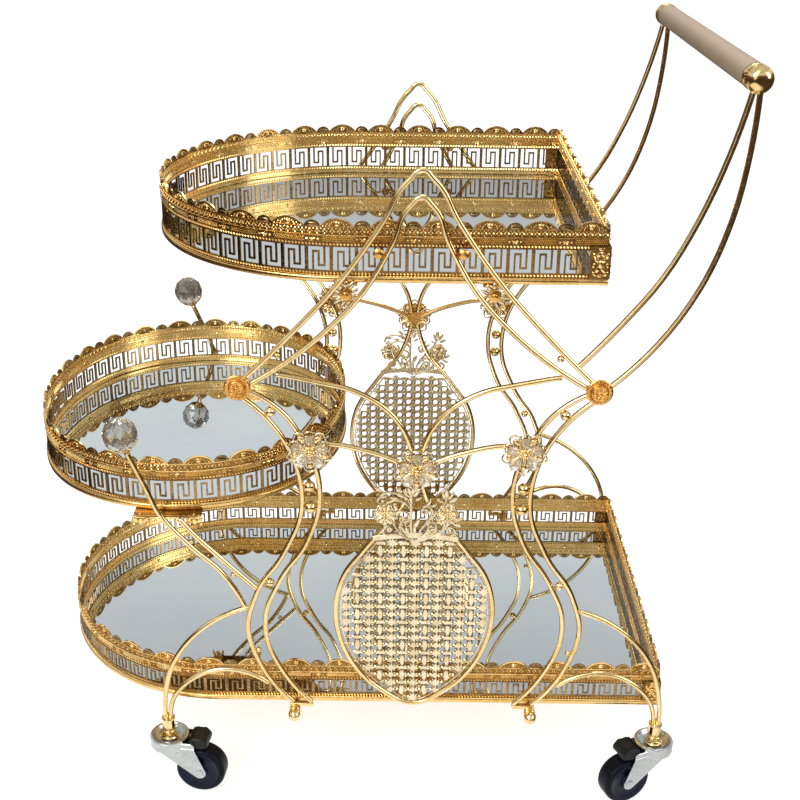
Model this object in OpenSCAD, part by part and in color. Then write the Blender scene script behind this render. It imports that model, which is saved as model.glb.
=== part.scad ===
// Hotel trolley: three mirror trays in two bent wire side frames, on four braked swivel casters.
// X runs along the trolley with the push handle toward +X, Y runs across it, and Z is up from the floor.
// Side names are those of a person pushing: left is -Y and right is +Y. Front is the rounded end, -X.

/* [Side frames] */
// Distance between the two planes of wire
frame_gap = 390; // [380:1:440]
// Diameter of the bent wire
wire_d = 5; // [4:0.5:5.5]
// Diameter of the hub under a joint knob
hub_d = 18; // [16:1:20]
// Diameter of a joint knob
knob_d = 24; // [20:1:30]
// Diameter of the hub behind the middle flower
heart_d = 15; // [12:1:16]

/* [Top tray] */
// Height of the top tray's underside above the floor
top_z = 541; // [536:1:546]
// Distance from the middle of the side wires to the top tray's side
top_gap = 5.5; // [4.8:0.1:8]
// Distance from the frames' middle to the top tray's straight end
top_rear = 161; // [120:1:200]
// Distance from the frames' middle to the start of the top tray's round end
top_nose = 63; // [20:1:90]
// Height of the top tray's wall
top_wall_h = 56; // [50:1:64]

/* [Middle tray] */
// Height of the middle tray's underside above the floor
middle_z = 312; // [300:1:320]
// Length of the middle tray along the trolley
middle_l = 312; // [280:1:330]
// Distance from the middle of the side wires to the middle tray's side
middle_gap = 12.5; // [8:0.5:20]
// Distance from the frames' middle to the middle tray's centre
middle_x = 229; // [210:1:245]
// Radius of the middle tray's two ends, as a share of half its length
middle_end_share = 0.9615; // [0.9:0.0005:0.98]
// Height of the middle tray's wall
middle_wall_h = 55; // [50:1:60]

/* [Bottom tray] */
// Height of the bottom tray's underside above the floor
bottom_z = 91; // [88:1:94]
// Distance from the middle of the side wires to the bottom tray's side
bottom_gap = 17; // [14:1:30]
// Distance from the frames' middle to the bottom tray's straight end
bottom_rear = 249; // [180:1:260]
// Distance from the frames' middle to the start of the bottom tray's round end
bottom_nose = 195; // [150:1:210]
// Height of the bottom tray's wall
bottom_wall_h = 50; // [46:1:56]

/* [Tray walls] */
// Thickness of the metal pan under a mirror
pan_t = 1; // [0.8:0.1:2]
// Thickness of a mirror
mirror_t = 2; // [2:0.5:4]
// Height of the moulding round a tray's foot
moulding_h = 6; // [5:0.5:8]
// Thickness of that moulding
moulding_t = 4; // [3:0.5:6]
// Height of each rope line
rope_h = 4; // [3:0.5:5]
// Height of the rail above the key pattern
rail_h = 7; // [5:0.5:8]
// Height of the beaded strip under the scallops
strip_h = 6; // [5:0.5:8]
// Height of a large scallop
scallop_h = 8; // [5:0.5:9]
// Thickness of the sheet metal of the walls
sheet_t = 1.4; // [1.2:0.1:1.8]
// Length of wall that one large and one small scallop take
scallop_pitch = 43; // [36:0.5:50]
// Width of a corner plate
corner_w = 17; // [12:1:22]
// Share of a wall's length that the openings in its key pattern take
window_share = 0.7; // [0.4:0.05:0.75]
// Height of sheet left above and below those openings
window_edge = 1.5; // [1:0.5:2]

/* [Handle] */
// Diameter of the grip tube
grip_d = 22; // [20:1:26]
// Wall of the grip tube
grip_wall = 1.5; // [1:0.5:3]
// Length of a grip cap outside the tube
cap_l = 20; // [16:1:26]
// Distance from the frames' middle to the grip
grip_x = 266; // [262:1:270]
// Height of the grip's axis above the floor
grip_z = 718; // [715:1:722]

/* [Ornament] */
// Diameter of a crystal ball
crystal_d = 33; // [26:1:36]
// Width of the bars of the pineapple's lattice
bar_w = 4; // [3:0.5:6]
// Distance between the bars of the lattice
bar_pitch = 10.9; // [9:0.1:14]
// Thickness of the stamped ornament
leaf_t = 1.2; // [1:0.1:2]
// Diameter of a gold petal
petal_d = 16; // [12:1:18]
// Diameter of a crystal petal
gem_d = 10; // [7:0.5:11]

/* [Casters] */
// Diameter of a wheel
wheel_d = 50; // [46:1:52]
// Width of a wheel
wheel_w = 20; // [16:1:22]
// Distance from a caster's stem to its axle
trail = 32; // [30:1:34]
// Diameter of the swivel cup
cup_d = 39; // [34:1:40]
// Diameter of the pin that a caster turns on
stem_d = 8; // [7:0.5:10]
// Diameter of an axle
axle_d = 6; // [5:0.5:8]
// Distance from the frames' middle to a caster's stem
stem_x = 244; // [243:0.5:246]
// Thickness of a fork's plates
fork_t = 1.6; // [1.2:0.2:2.4]

/* [Hidden] */
SIDE_PIECES = ["arch_wires", "front_leg_wires", "rear_leg_wires", "handle_wires", "butterfly_wires",
  "caster_wires", "support_wires", "pineapple_ring", "pineapple_lattice", "pineapple_crown"];
TRAY_PIECES = ["mirror", "base", "key_band", "gallery"];
CASTER_PIECES = ["fork", "wheel", "brake"];
// casters as name, place along, side, and angle that the wheel trails at
CASTERS = [
  ["front_left_", -1, -1, -7], ["front_right_", -1, 1, 7],
  ["rear_left_", 1, -1, 203], ["rear_right_", 1, 1, 157]
];
wire_r = wire_d / 2;
side_y = frame_gap / 2;
// widths of the trays, and the radius of the middle one's ends
top_w = frame_gap - 2 * top_gap;
middle_w = frame_gap - 2 * middle_gap;
bottom_w = frame_gap - 2 * bottom_gap;
middle_end_r = middle_end_share * middle_l / 2;
// gap between pieces that touch, and play of a pin in its bore
touch = 0.1;
play = 0.05;
// the whole length, whose middle stands on the origin
cap_lip = 0.5;
front_end = -middle_x - middle_l / 2;
rear_end = grip_x + grip_d / 2 + cap_lip;
origin_x = (front_end + rear_end) / 2;

// where a handle wire ends under the grip
weld = 0.6;
function grip_foot(along) = [grip_x + along, grip_z - grip_d / 2 - weld];

// Wire routes as distance from the frames' middle and height, from the front half or the rear half alike.
joint = [160, 445];
heart = [0, 366];
foot = [117, 92];
outer_arch = [[154, 452.6], [112, 495], [71, 541], [33, 595], [11, 632], [0, 641]];
inner_arch = [[150.4, 446.6], [88, 492], [47, 537], [24, 578], [10, 610], [0, 618]];
outer_leg = [[157.4, 434.9], [126, 402.5], [108, 362], [106, 320], [122, 277], [150, 231], [160, 190],
  [149, 148], [119, 104.6]];
inner_leg = [[151.6, 441.25], [120, 419], [103, 392.5], [92, 366], [89, 330], [100, 290], [128, 244], [142, 208],
  [142, 177], [128, 141], [101, 104.6]];
outer_handle = [[169.2, 448.6], [207, 489], [238, 540], [259, 603], [267, 660], grip_foot(2.6)];
inner_handle = [[141.5, 469.2], [175, 508], [206, 550], [232, 603], [250, 655], grip_foot(-3.4)];
upper_wing = [[124.2, 456.7], [90, 450], [55, 441], [28, 424], [10, 399], [3.8, 373.7]];
lower_wing = [[97.7, 389], [75, 389], [50, 384], [28, 377], [8.4, 367.6]];
half_ring = [[3.8, 358.3], [14, 325], [44, 285], [69, 246], [75, 203], [63, 159], [33, 121], [0, 104]];
outer_caster = [[161, 213], [203, 190], [233, 152], [245, 110], [246.8, 84.2]];
inner_caster = [[143.2, 127], [166, 139], [191, 141], [218, 129], [236, 108], [241.2, 84.2]];
outer_support = [[162.8, 215.9], [182, 251], [213, 283], [238, 315], [251, 348], [262.5, 376]];
inner_support = [[151.7, 236.1], [184, 269], [210, 297], [219, 308.6]];
crystal_at = [268, 396];
// spacer balls between two wires
arch_balls = [[124, 475]];
leg_balls = [[131.7, 420.8], [98, 346], [97.5, 324], [137.5, 242], [150.5, 165]];
support_balls = [[209.5, 285.5], [172, 249.5]];
// screws of the top tray through its wall and under its floor, and of the middle tray
wall_screw = [36, 570];
under_screw = [64, 531.5];
strap_x = [208, 255];
flower_at = [[-97, 384], [0, 366], [97, 384]];
small_flower_at = [[-29, 320], [29, 320]];
crown_foot = [0, 296];

// Geometry of bent wire
function unit(v) = v / norm(v);
function cross2(a, b) = a[0] * b[1] - a[1] * b[0];
function flip(points) = [for (p = points) [-p[0], p[1]]];
function last(points) = points[len(points) - 1];
function reverse(points) = [for (i = [len(points) - 1 : -1 : 0]) points[i]];
// a route from the rear half, carried on over the middle into the front half
function over(points) = concat(points, [for (i = [len(points) - 2 : -1 : 0]) [-points[i][0], points[i][1]]]);
// direction at the middle one of three points, along their circle
function middle_direction(a, b, c) =
  unit((b - a) * norm(c - b) / norm(b - a) + (c - b) * norm(b - a) / norm(c - b));
function mirrored(t, u) = 2 * (t * u) * u - t;
function direction(p, i) = let (n = len(p))
  i == 0 ? mirrored(middle_direction(p[0], p[1], p[2]), unit(p[1] - p[0])) :
  i == n - 1 ? mirrored(middle_direction(p[n - 3], p[n - 2], p[n - 1]), unit(p[n - 1] - p[n - 2])) :
  middle_direction(p[i - 1], p[i], p[i + 1]);
// two arcs that join p and q smoothly, each as start, direction and end
function arm(v, s, t) = let (b = v * (s + t), k = 2 * (1 - s * t))
  k < 1e-6 ? v * v / (2 * b) : (sqrt(b * b + k * (v * v)) - b) / k;
function arc_pair(p, s, q, t) = let (d = arm(q - p, s, t), m = (p + q + d * (s - t)) / 2)
  [[p, s, m], [m, unit(q - d * t - p - d * s), q]];
function sweep_of(a) = let (c = a[2] - a[0]) 2 * atan2(cross2(a[1], c), a[1] * c);
// point and direction at the share f of an arc
function on_arc(a, f) = let (
    c = a[2] - a[0],
    w = sweep_of(a),
    part = f * w,
    chord = abs(w) < 0.05 ? norm(c) * f : norm(c) * sin(part / 2) / sin(w / 2),
    t = a[1]
  ) [
    a[0] + chord * [t[0] * cos(part / 2) - t[1] * sin(part / 2), t[0] * sin(part / 2) + t[1] * cos(part / 2)],
    [t[0] * cos(part) - t[1] * sin(part), t[0] * sin(part) + t[1] * cos(part)]
  ];
bend_step = 13;
length_step = 32;
function steps(a, fine) = fine * max(1, ceil(max(abs(sweep_of(a)) / bend_step, norm(a[2] - a[0]) / length_step)));
// a route as rings, each a point and a direction
function rings(points, fine = 1) = concat([[points[0], direction(points, 0)]], [
  for (i = [0 : len(points) - 2])
    for (a = arc_pair(points[i], direction(points, i), points[i + 1], direction(points, i + 1)))
      for (k = [1 : steps(a, fine)]) on_arc(a, k / steps(a, fine))
]);
wire_sides = 8;
// wire bent along a route in the plane of a side frame
module wire(points) {
  r = rings(points);
  n = len(r);
  s = wire_sides;
  corners = [for (g = r) for (j = [0 : s - 1]) let (a = 360 * (j + 0.5) / s)
    [g[0][0] - wire_r * cos(a) * g[1][1], wire_r * sin(a), g[0][1] + wire_r * cos(a) * g[1][0]]];
  sides = [for (i = [0 : n - 2]) for (j = [0 : s - 1]) let (k = (j + 1) % s)
    each [[i * s + j, i * s + k, (i + 1) * s + k], [i * s + j, (i + 1) * s + k, (i + 1) * s + j]]];
  ends = [[for (j = [s - 1 : -1 : 0]) j], [for (j = [0 : s - 1]) (n - 1) * s + j]];
  polyhedron(corners, concat(sides, ends), convexity = 10);
}
// the distance from a point to a bent wire's middle line
function off_line(p, a, b) = let (v = b - a, f = max(0, min(1, (p - a) * v / (v * v)))) norm(p - a - f * v);
function reach(p, points) = let (g = rings(points)) min([
  for (i = [0 : len(g) - 2]) off_line(p, g[i][0], g[i + 1][0])
]);
// half the width of the bent wire in its own plane, and the lowest point of its lower end
wire_flat = wire_r * cos(180 / wire_sides);
function end_foot(p) = let (i = len(p) - 1) p[i][1] - wire_flat * abs(direction(p, i)[0]);

// Places
module whole() { translate([-origin_x, 0, 0]) children(); }
// a side frame: side is -1 on the left and 1 on the right
module in_side(side) { whole() translate([0, side * side_y, 0]) children(); }
// stands on the outer face of a side frame, with the outline drawn as along and up
module outward(side) {
  whole() translate([0, side * (side_y + wire_r + touch), 0]) mirror([0, side < 0 ? 0 : 1, 0])
    rotate([90, 0, 0]) children();
}
module both_ends() {
  children();
  mirror([1, 0, 0]) children();
}

// Side frame pieces
module arch_wires(side) {
  color("gold") in_side(side) {
    wire(over(outer_arch));
    wire(over(inner_arch));
  }
}
module leg_wires(side, end) {
  color("gold") in_side(side) {
    wire(end < 0 ? flip(outer_leg) : outer_leg);
    wire(end < 0 ? flip(inner_leg) : inner_leg);
  }
}
module handle_wires(side) {
  color("gold") in_side(side) {
    wire(outer_handle);
    wire(inner_handle);
  }
}
module butterfly_wires(side) {
  color("gold") in_side(side) {
    wire(upper_wing);
    wire(flip(upper_wing));
    wire(lower_wing);
    wire(flip(lower_wing));
  }
}
module caster_wires(side) {
  color("gold") in_side(side) {
    wire(outer_caster);
    wire(inner_caster);
    wire(flip(outer_caster));
    wire(flip(inner_caster));
  }
}
module support_wires(side) {
  color("gold") in_side(side) {
    wire(flip(outer_support));
    wire(flip(inner_support));
  }
}
module pineapple_ring(side) { color("gold") in_side(side) wire(over(half_ring)); }

// Pineapple panels
crown_band_h = 8;
ring_run = rings(over(half_ring));
module ring_inside(inset) { polygon([for (g = ring_run) g[0] + (wire_r + inset) * [g[1][1], -g[1][0]]]); }
// half the room inside the ring at a height
function ring_half(z) = max([0, for (i = [0 : len(ring_run) - 2]) let (p = ring_run[i][0], q = ring_run[i + 1][0])
  if (p[0] > 0 && (p[1] - z) * (q[1] - z) <= 0 && p[1] != q[1])
    p[0] + (q[0] - p[0]) * (z - p[1]) / (q[1] - p[1])]) - wire_r - touch;
lattice_top = crown_foot[1] - crown_band_h / 2;
lattice_foot = min([for (g = ring_run) g[0][1]]) + wire_r + bar_w;
least_hole = 2;
module lattice_holes() {
  hole = bar_pitch - bar_w;
  rows = floor((lattice_top - lattice_foot) / bar_pitch);
  for (row = [0 : rows]) {
    z = lattice_top - hole - row * bar_pitch;
    half = min(ring_half(z), ring_half(z + hole)) - bar_w / 2;
    for (i = [0 : floor(half / bar_pitch)]) {
      x = i * bar_pitch + bar_w / 2;
      w = min(hole, half - x);
      if (w >= least_hole) both_ends() translate([x, z]) square([w, hole]);
    }
  }
}
module pineapple_lattice(side) {
  color("palegoldenrod") in_side(side) rotate([90, 0, 0]) translate([0, 0, -leaf_t / 2]) difference() {
    linear_extrude(leaf_t) intersection() {
      ring_inside(touch);
      translate([-outer_leg[0][0], 0]) square([2 * outer_leg[0][0], lattice_top + bar_w]);
    }
    translate([0, 0, -1]) linear_extrude(leaf_t + 2) lattice_holes();
  }
}
// the crown as one outline of pointed leaves: valley, shoulder, tip, shoulder
leaf_l = 50;
leaf_valley = 18;
leaf_step = 21;
leaf_count = 7;
crown_half = 36;
function crown_point(r, a) = crown_foot + r * [sin(a), cos(a)];
function crown_outline() = [for (i = [0 : leaf_count - 1]) let (a = (i - (leaf_count - 1) / 2) * leaf_step) each [
  crown_point(leaf_valley, a - leaf_step / 2),
  crown_point(leaf_l * 0.7, a - leaf_step / 4),
  crown_point(leaf_l, a),
  crown_point(leaf_l * 0.7, a + leaf_step / 4)
]];
module pineapple_crown(side) {
  edge = crown_point(leaf_valley, leaf_count * leaf_step / 2);
  color("gold") outward(side) linear_extrude(leaf_t) polygon(concat(
    crown_outline(),
    [edge, [crown_half, crown_foot[1] + crown_band_h / 2], [crown_half, crown_foot[1] - crown_band_h / 2],
      [-crown_half, crown_foot[1] - crown_band_h / 2], [-crown_half, crown_foot[1] + crown_band_h / 2]]
  ));
}

// Flowers on the outer faces
petals = 6;
gems = 5;
module flower_sheet(scale_by) {
  ring_r = petal_d * 0.85 * scale_by;
  linear_extrude(leaf_t) {
    circle(ring_r);
    for (i = [0 : petals - 1]) rotate(i * 360 / petals) translate([ring_r, 0]) circle(petal_d / 2 * scale_by);
  }
  cylinder(d = petal_d / 2 * scale_by, h = leaf_t + gem_d * 0.6 * scale_by);
}
module flower_gems(scale_by) {
  for (i = [0 : gems - 1])
    rotate(90 + (i + 0.5) * 360 / gems)
      translate([petal_d * 0.95 * scale_by, 0, leaf_t + touch + gem_d / 2 * scale_by]) sphere(d = gem_d * scale_by);
}
small_share = 0.6;
module each_flower(side) {
  for (p = flower_at) outward(side) translate([p[0], p[1], 0]) children(0);
  for (p = small_flower_at) outward(side) translate([p[0], p[1], leaf_t + touch]) children(1);
}
module flowers() {
  color("goldenrod") for (side = [-1, 1]) each_flower(side) {
    flower_sheet(1);
    flower_sheet(small_share);
  }
}
module flower_crystals() {
  color("lavender") for (side = [-1, 1]) each_flower(side) {
    flower_gems(1);
    flower_gems(small_share);
  }
}

// Knobs, balls and screws
knob_h = 6;
module hub_and_knob(side, p, hub, knob) {
  hub_h = wire_d + 2 * touch;
  in_side(side) translate([p[0], 0, p[1]]) rotate([-90 * side, 0, 0]) {
    translate([0, 0, -hub_h / 2]) cylinder(d = hub, h = hub_h);
    if (knob > 0) {
      translate([0, 0, hub_h / 2]) cylinder(d = knob, h = knob_h / 2);
      translate([0, 0, hub_h / 2 + knob_h / 2]) cylinder(d1 = knob, d2 = knob * 0.6, h = knob_h / 2);
    }
  }
}
module joint_knobs() {
  color("darkorange") for (side = [-1, 1]) {
    for (end = [-1, 1]) hub_and_knob(side, [end * joint[0], joint[1]], hub_d, knob_d);
    hub_and_knob(side, heart, heart_d, 0);
  }
}
module ball_between(side, p, a, b) {
  d = 2 * (min(reach(p, a), reach(p, b)) - wire_r - touch);
  in_side(side) translate([p[0], 0, p[1]]) sphere(d = d);
}
module spacer_balls() {
  color("gold") for (side = [-1, 1]) {
    for (end = [-1, 1]) mirror_end(end) {
      for (p = arch_balls) ball_between(side, p, outer_arch, inner_arch);
      for (p = leg_balls) ball_between(side, p, outer_leg, inner_leg);
    }
    mirror_end(-1) for (p = support_balls) ball_between(side, p, outer_support, inner_support);
  }
}
// draws a rear half piece at the front too: the mirror plane is the frames' middle
module mirror_end(end) {
  translate([end < 0 ? -2 * origin_x : 0, 0, 0]) mirror([end < 0 ? 1 : 0, 0, 0]) children();
}

// Trays
wall_in = 1.5;
screw_d = 4;
band_back = wall_in + sheet_t;
// the half outline of a tray as shape and measures, by name
TOP = [top_rear, top_nose, top_w / 2, top_z, top_wall_h];
MIDDLE = [0, middle_x, middle_w / 2, middle_z, middle_wall_h];
BOTTOM = [bottom_rear, bottom_nose, bottom_w / 2, bottom_z, bottom_wall_h];
arc_step = 5;
// round-ended outline from the rear left corner along the left side, the nose and back, drawn in by inset
function nose_run(t, inset) = let (r = t[2] - inset) concat(
  [[t[0] - inset, -r]],
  [for (a = [-90 : -arc_step : -270]) [r * cos(a) - t[1], r * sin(a)]],
  [[t[0] - inset, r]]
);
// oval of two end radii and two side radii that meet smoothly
function oval(inset) = let (
    h = middle_w / 2 - middle_end_r,
    a = middle_l / 2,
    side_r = ((middle_end_r * middle_end_r) - a * a - h * h) / (2 * (middle_end_r - a)),
    s = side_r - a,
    turn = atan2(h, s),
    e = middle_end_r - inset,
    l = side_r - inset
  ) [
    for (a = [-90 : -arc_step : turn - 180 + arc_step / 2]) [e * cos(a) - middle_x, e * sin(a) - h],
    for (f = [0 : 1 / 8 : 1]) let (b = 180 + turn - 2 * turn * f) [l * cos(b) + s - middle_x, l * sin(b)],
    for (a = [180 - turn - arc_step / 2 : -arc_step : turn + arc_step / 4]) [e * cos(a) - middle_x, e * sin(a) + h],
    for (f = [0 : 1 / 8 : 1]) let (b = turn - 2 * turn * f) [l * cos(b) - s - middle_x, l * sin(b)],
    for (a = [-turn - arc_step / 2 : -arc_step : -90 + arc_step / 4]) [e * cos(a) - middle_x, e * sin(a) - h]
  ];
function outline(t, inset) = t == MIDDLE ? oval(inset) : nose_run(t, inset);
module tray_ring(t, outer, inner, z, h) {
  translate([0, 0, t[3] + z]) linear_extrude(h) difference() {
    polygon(outline(t, outer));
    polygon(outline(t, inner));
  }
}
// heights in a wall, from its foot
function gallery_z(t) = t[4] - scallop_h - strip_h - rail_h;
module mirror_plate(t) {
  color("lightsteelblue") whole() translate([0, 0, t[3] + pan_t]) linear_extrude(mirror_t)
    polygon(outline(t, moulding_t + touch));
}
module base(t) {
  color("gold") whole() {
    tray_ring(t, 0, moulding_t, 0, moulding_h);
    translate([0, 0, t[3]]) linear_extrude(pan_t) polygon(outline(t, moulding_t + touch));
  }
}
// the place and heading at a distance along a run
function sums(run) = [for (i = 0, d = 0; i < len(run); d = d + (i < len(run) - 1 ? norm(run[i + 1] - run[i]) : 0),
  i = i + 1) d];
function along(run, sum, d) = let (
    i = min(len([for (x = sum) if (x <= d) 1]), len(run) - 1) - 1,
    v = unit(run[i + 1] - run[i])
  ) [run[i] + (d - sum[i]) * v, atan2(v[1], v[0])];
// Openings in the wall between its rope lines, spaced as the scallops above them. Those of the top tray stay below
// the screws that hold its wall.
window_foot = moulding_h + rope_h + window_edge;
function window_top(t) = -window_edge +
  (t == TOP ? min(gallery_z(t) - rope_h, wall_screw[1] - screw_d / 2 - t[3]) : gallery_z(t) - rope_h);
module windows(t, run) {
  sum = sums(run);
  count = round(sum[len(sum) - 1] / scallop_pitch);
  pitch = sum[len(sum) - 1] / count;
  w = pitch * window_share;
  for (i = [0 : count - 1]) {
    middle = along(run, sum, (i + 0.5) * pitch);
    translate([middle[0][0], middle[0][1], t[3] + window_foot]) rotate(middle[1])
      translate([-w / 2, -band_back, 0]) cube([w, 2 * band_back, window_top(t) - window_foot]);
  }
}
module key_band(t) {
  top = gallery_z(t);
  run = outline(t, wall_in + sheet_t / 2);
  color("khaki") whole() {
    difference() {
      tray_ring(t, wall_in, band_back, moulding_h, top - moulding_h);
      if (t == MIDDLE) {
        windows(t, concat(run, [run[0]]));
      } else {
        windows(t, run);
        windows(t, [run[len(run) - 1], run[0]]);
      }
    }
    tray_ring(t, wall_in / 3, band_back, moulding_h, rope_h);
    tray_ring(t, wall_in / 3, band_back, top - rope_h, rope_h);
  }
}
// half a lens standing on the strip
module scallop(w, h) {
  r = (w * w / 4 + h * h) / (2 * h);
  half = asin(w / 2 / r);
  rotate([90, 0, 0]) linear_extrude(sheet_t, center = true)
    polygon(concat([for (k = [-4 : 4]) [r * sin(half * k / 4), r * cos(half * k / 4) - r + h]],
      [[w / 2, -1], [-w / 2, -1]]));
}
large_share = 0.68;
lap = 1;
module scallops(run) {
  sum = sums(run);
  whole_l = sum[len(sum) - 1];
  count = round(whole_l / scallop_pitch);
  pitch = whole_l / count;
  closed = norm(run[0] - run[len(run) - 1]) < 1;
  for (i = [0 : count - 1]) {
    large = along(run, sum, (i + 0.5) * pitch);
    small = along(run, sum, i * pitch);
    translate([large[0][0], large[0][1], 0]) rotate(large[1]) scallop(pitch * large_share, scallop_h);
    if (i > 0 || closed)
      translate([small[0][0], small[0][1], 0]) rotate(small[1])
        scallop(pitch * (1 - large_share) + 2 * lap, scallop_h * 0.6);
  }
}
module gallery(t) {
  z = gallery_z(t);
  middle_line = wall_in + sheet_t / 2;
  run = outline(t, middle_line);
  color("gold") whole() {
    tray_ring(t, wall_in / 4, band_back, z, rail_h);
    tray_ring(t, wall_in, band_back, z + rail_h, strip_h);
    translate([0, 0, t[3] + z + rail_h + strip_h]) {
      if (t == MIDDLE) {
        scallops(concat(run, [run[0]]));
      } else {
        scallops(run);
        scallops([run[len(run) - 1], run[0]]);
      }
    }
  }
}
corner_t = 1;
module corner_plate(t, side) {
  z = t[3] + moulding_h + touch;
  h = gallery_z(t) - moulding_h - 2 * touch;
  back = wall_in / 3 - touch;
  mirror([0, side > 0 ? 1 : 0, 0]) {
    translate([t[0] - corner_w, back - corner_t - t[2], z]) cube([corner_w - back + corner_t, corner_t, h]);
    translate([t[0] - back, back - corner_t - t[2], z]) cube([corner_t, corner_w, h]);
  }
}
module tray_corner_plates() {
  color("darkgoldenrod") whole() for (t = [TOP, BOTTOM]) for (side = [-1, 1]) corner_plate(t, side);
}

// Tray fixings
bracket_t = 2;
bracket_w = 20;
bracket_l = 28;
module top_tray_brackets() {
  color("gold") for (side = [-1, 1]) for (end = [-1, 1]) mirror_end(end) in_side(side) mirror([0, side < 0 ? 1 : 0, 0])
    translate([under_screw[0] - bracket_w / 2, 0, 0]) {
      back = wire_r + touch;
      top = top_z - touch;
      translate([0, -back - bracket_l, top - bracket_t]) cube([bracket_w, bracket_l, bracket_t]);
      difference() {
        translate([0, -back - bracket_t, under_screw[1] - bracket_w / 2])
          cube([bracket_w, bracket_t, top - under_screw[1] + bracket_w / 2]);
        translate([bracket_w / 2, -back + 1, under_screw[1]]) rotate([90, 0, 0])
          cylinder(d = screw_d + 2 * play, h = bracket_t + 2);
      }
    }
}
head_d = 9;
head_h = 3;
// a screw along Y with its head outward, from the plane of the wires
module side_screw(side, p, inside, head_out) {
  in_side(side) translate([p[0], 0, p[1]]) rotate([-90 * side, 0, 0]) {
    translate([0, 0, -inside]) cylinder(d = screw_d, h = inside + head_out);
    translate([0, 0, head_out]) cylinder(d = head_d, h = head_h);
  }
}
module top_tray_screws() {
  to_wall = side_y - top_w / 2 - touch;
  color("darkorange") for (side = [-1, 1]) for (end = [-1, 1]) {
    mirror_end(end) side_screw(side, wall_screw, to_wall + wall_in, wire_r + touch);
    mirror_end(end) side_screw(side, under_screw, wire_r + touch + 2 * bracket_t, -wire_r - touch + touch);
  }
}
strap_t = 2;
strap_w = 26;
strap_margin = 8;
module middle_tray_straps() {
  l = strap_x[1] - strap_x[0] + 2 * strap_margin;
  color("gold") for (side = [-1, 1]) in_side(side) mirror([0, side < 0 ? 1 : 0, 0])
    translate([-strap_x[1] - strap_margin, -wire_r - touch - strap_w, middle_z - touch - strap_t]) difference() {
      cube([l, strap_w, strap_t]);
      for (x = strap_x) translate([strap_x[1] - x + strap_margin, strap_w - strap_in, -1])
        cylinder(d = screw_d + 2 * play, h = strap_t + 2);
    }
}
strap_in = 8;
button_d = 12;
module middle_tray_screws() {
  z = middle_z - touch - strap_t - touch;
  color("darkorange") for (side = [-1, 1]) for (x = strap_x) in_side(side)
    translate([-x, -side * (wire_r + touch + strap_in), z]) {
      translate([0, 0, -head_h]) cylinder(d1 = button_d * 0.6, d2 = button_d, h = head_h);
      cylinder(d = screw_d, h = strap_t + touch);
    }
}
lug_d = 12;
module foot_lugs() {
  bar_top = min(end_foot(outer_leg), end_foot(inner_leg)) - touch;
  bar_h = 4;
  bar_x = [last(inner_leg)[0] - wire_r, last(outer_leg)[0] + wire_r];
  color("gold") for (side = [-1, 1]) for (end = [-1, 1]) mirror_end(end) in_side(side) difference() {
    union() {
      translate([bar_x[0], -wire_r, bar_top - bar_h]) cube([bar_x[1] - bar_x[0], wire_d, bar_h]);
      translate([foot[0], wire_r, foot[1]]) rotate([90, 0, 0]) cylinder(d = lug_d, h = wire_d);
      translate([foot[0] - lug_d / 4, -wire_r, foot[1]]) cube([lug_d / 2, wire_d, bar_top - bar_h / 2 - foot[1]]);
    }
    translate([foot[0], wire_d, foot[1]]) rotate([90, 0, 0]) cylinder(d = screw_d + 2 * play, h = 2 * wire_d);
  }
}
ball_nut_d = 13;
module foot_screws() {
  inside = side_y - bottom_w / 2 - touch;
  color("gold") for (side = [-1, 1]) for (end = [-1, 1]) mirror_end(end)
    in_side(side) translate([foot[0], 0, foot[1]]) rotate([-90 * side, 0, 0]) {
      translate([0, 0, -inside]) cylinder(d = screw_d, h = inside + wire_r + touch + 1);
      translate([0, 0, -inside]) cylinder(d = 2 * screw_d, h = inside - wire_r - touch);
      translate([0, 0, wire_r + touch]) intersection() {
        translate([0, 0, ball_nut_d / 3]) sphere(d = ball_nut_d);
        cylinder(d = ball_nut_d, h = ball_nut_d);
      }
    }
}

// Crystal balls on the front supports
wire_end = outer_support[5];
ball_way = crystal_at - wire_end;
module crystal_cups() {
  l = norm(ball_way);
  foot_gap = touch + wire_r * abs(cross2(direction(outer_support, 5), unit(ball_way)));
  color("gold") for (side = [-1, 1]) mirror_end(-1) in_side(side)
    translate([wire_end[0], 0, wire_end[1]]) rotate([0, atan2(ball_way[0], ball_way[1]), 0]) difference() {
      translate([0, 0, foot_gap]) cylinder(d1 = wire_d, d2 = crystal_d * 0.45, h = l - crystal_d / 2 + 2);
      translate([0, 0, l]) sphere(d = crystal_d + 2 * touch);
    }
}
module crystal_balls() {
  color("white") for (side = [-1, 1]) mirror_end(-1) in_side(side)
    translate([crystal_at[0], 0, crystal_at[1]]) sphere(d = crystal_d);
}

// Push handle
grip_l = frame_gap - cap_l;
module along_grip() { whole() translate([grip_x, 0, grip_z]) rotate([-90, 0, 0]) children(); }
module grip_tube() {
  color("tan") along_grip() difference() {
    translate([0, 0, -grip_l / 2]) cylinder(d = grip_d, h = grip_l);
    translate([0, 0, -grip_l / 2 - 1]) cylinder(d = grip_d - 2 * grip_wall, h = grip_l + 2);
  }
}
spigot_l = 12;
module grip_caps() {
  cap_d = grip_d + 2 * cap_lip;
  color("gold") for (side = [-1, 1]) along_grip() mirror([0, 0, side < 0 ? 1 : 0]) {
    translate([0, 0, grip_l / 2 - spigot_l]) cylinder(d = grip_d - 2 * grip_wall - 2 * play, h = spigot_l + 1);
    translate([0, 0, grip_l / 2 + touch]) cylinder(d = cap_d, h = cap_l * 0.7);
    translate([0, 0, grip_l / 2 + touch + cap_l * 0.7]) cylinder(d1 = cap_d, d2 = cap_d * 0.5, h = cap_l * 0.3);
  }
}

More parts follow.
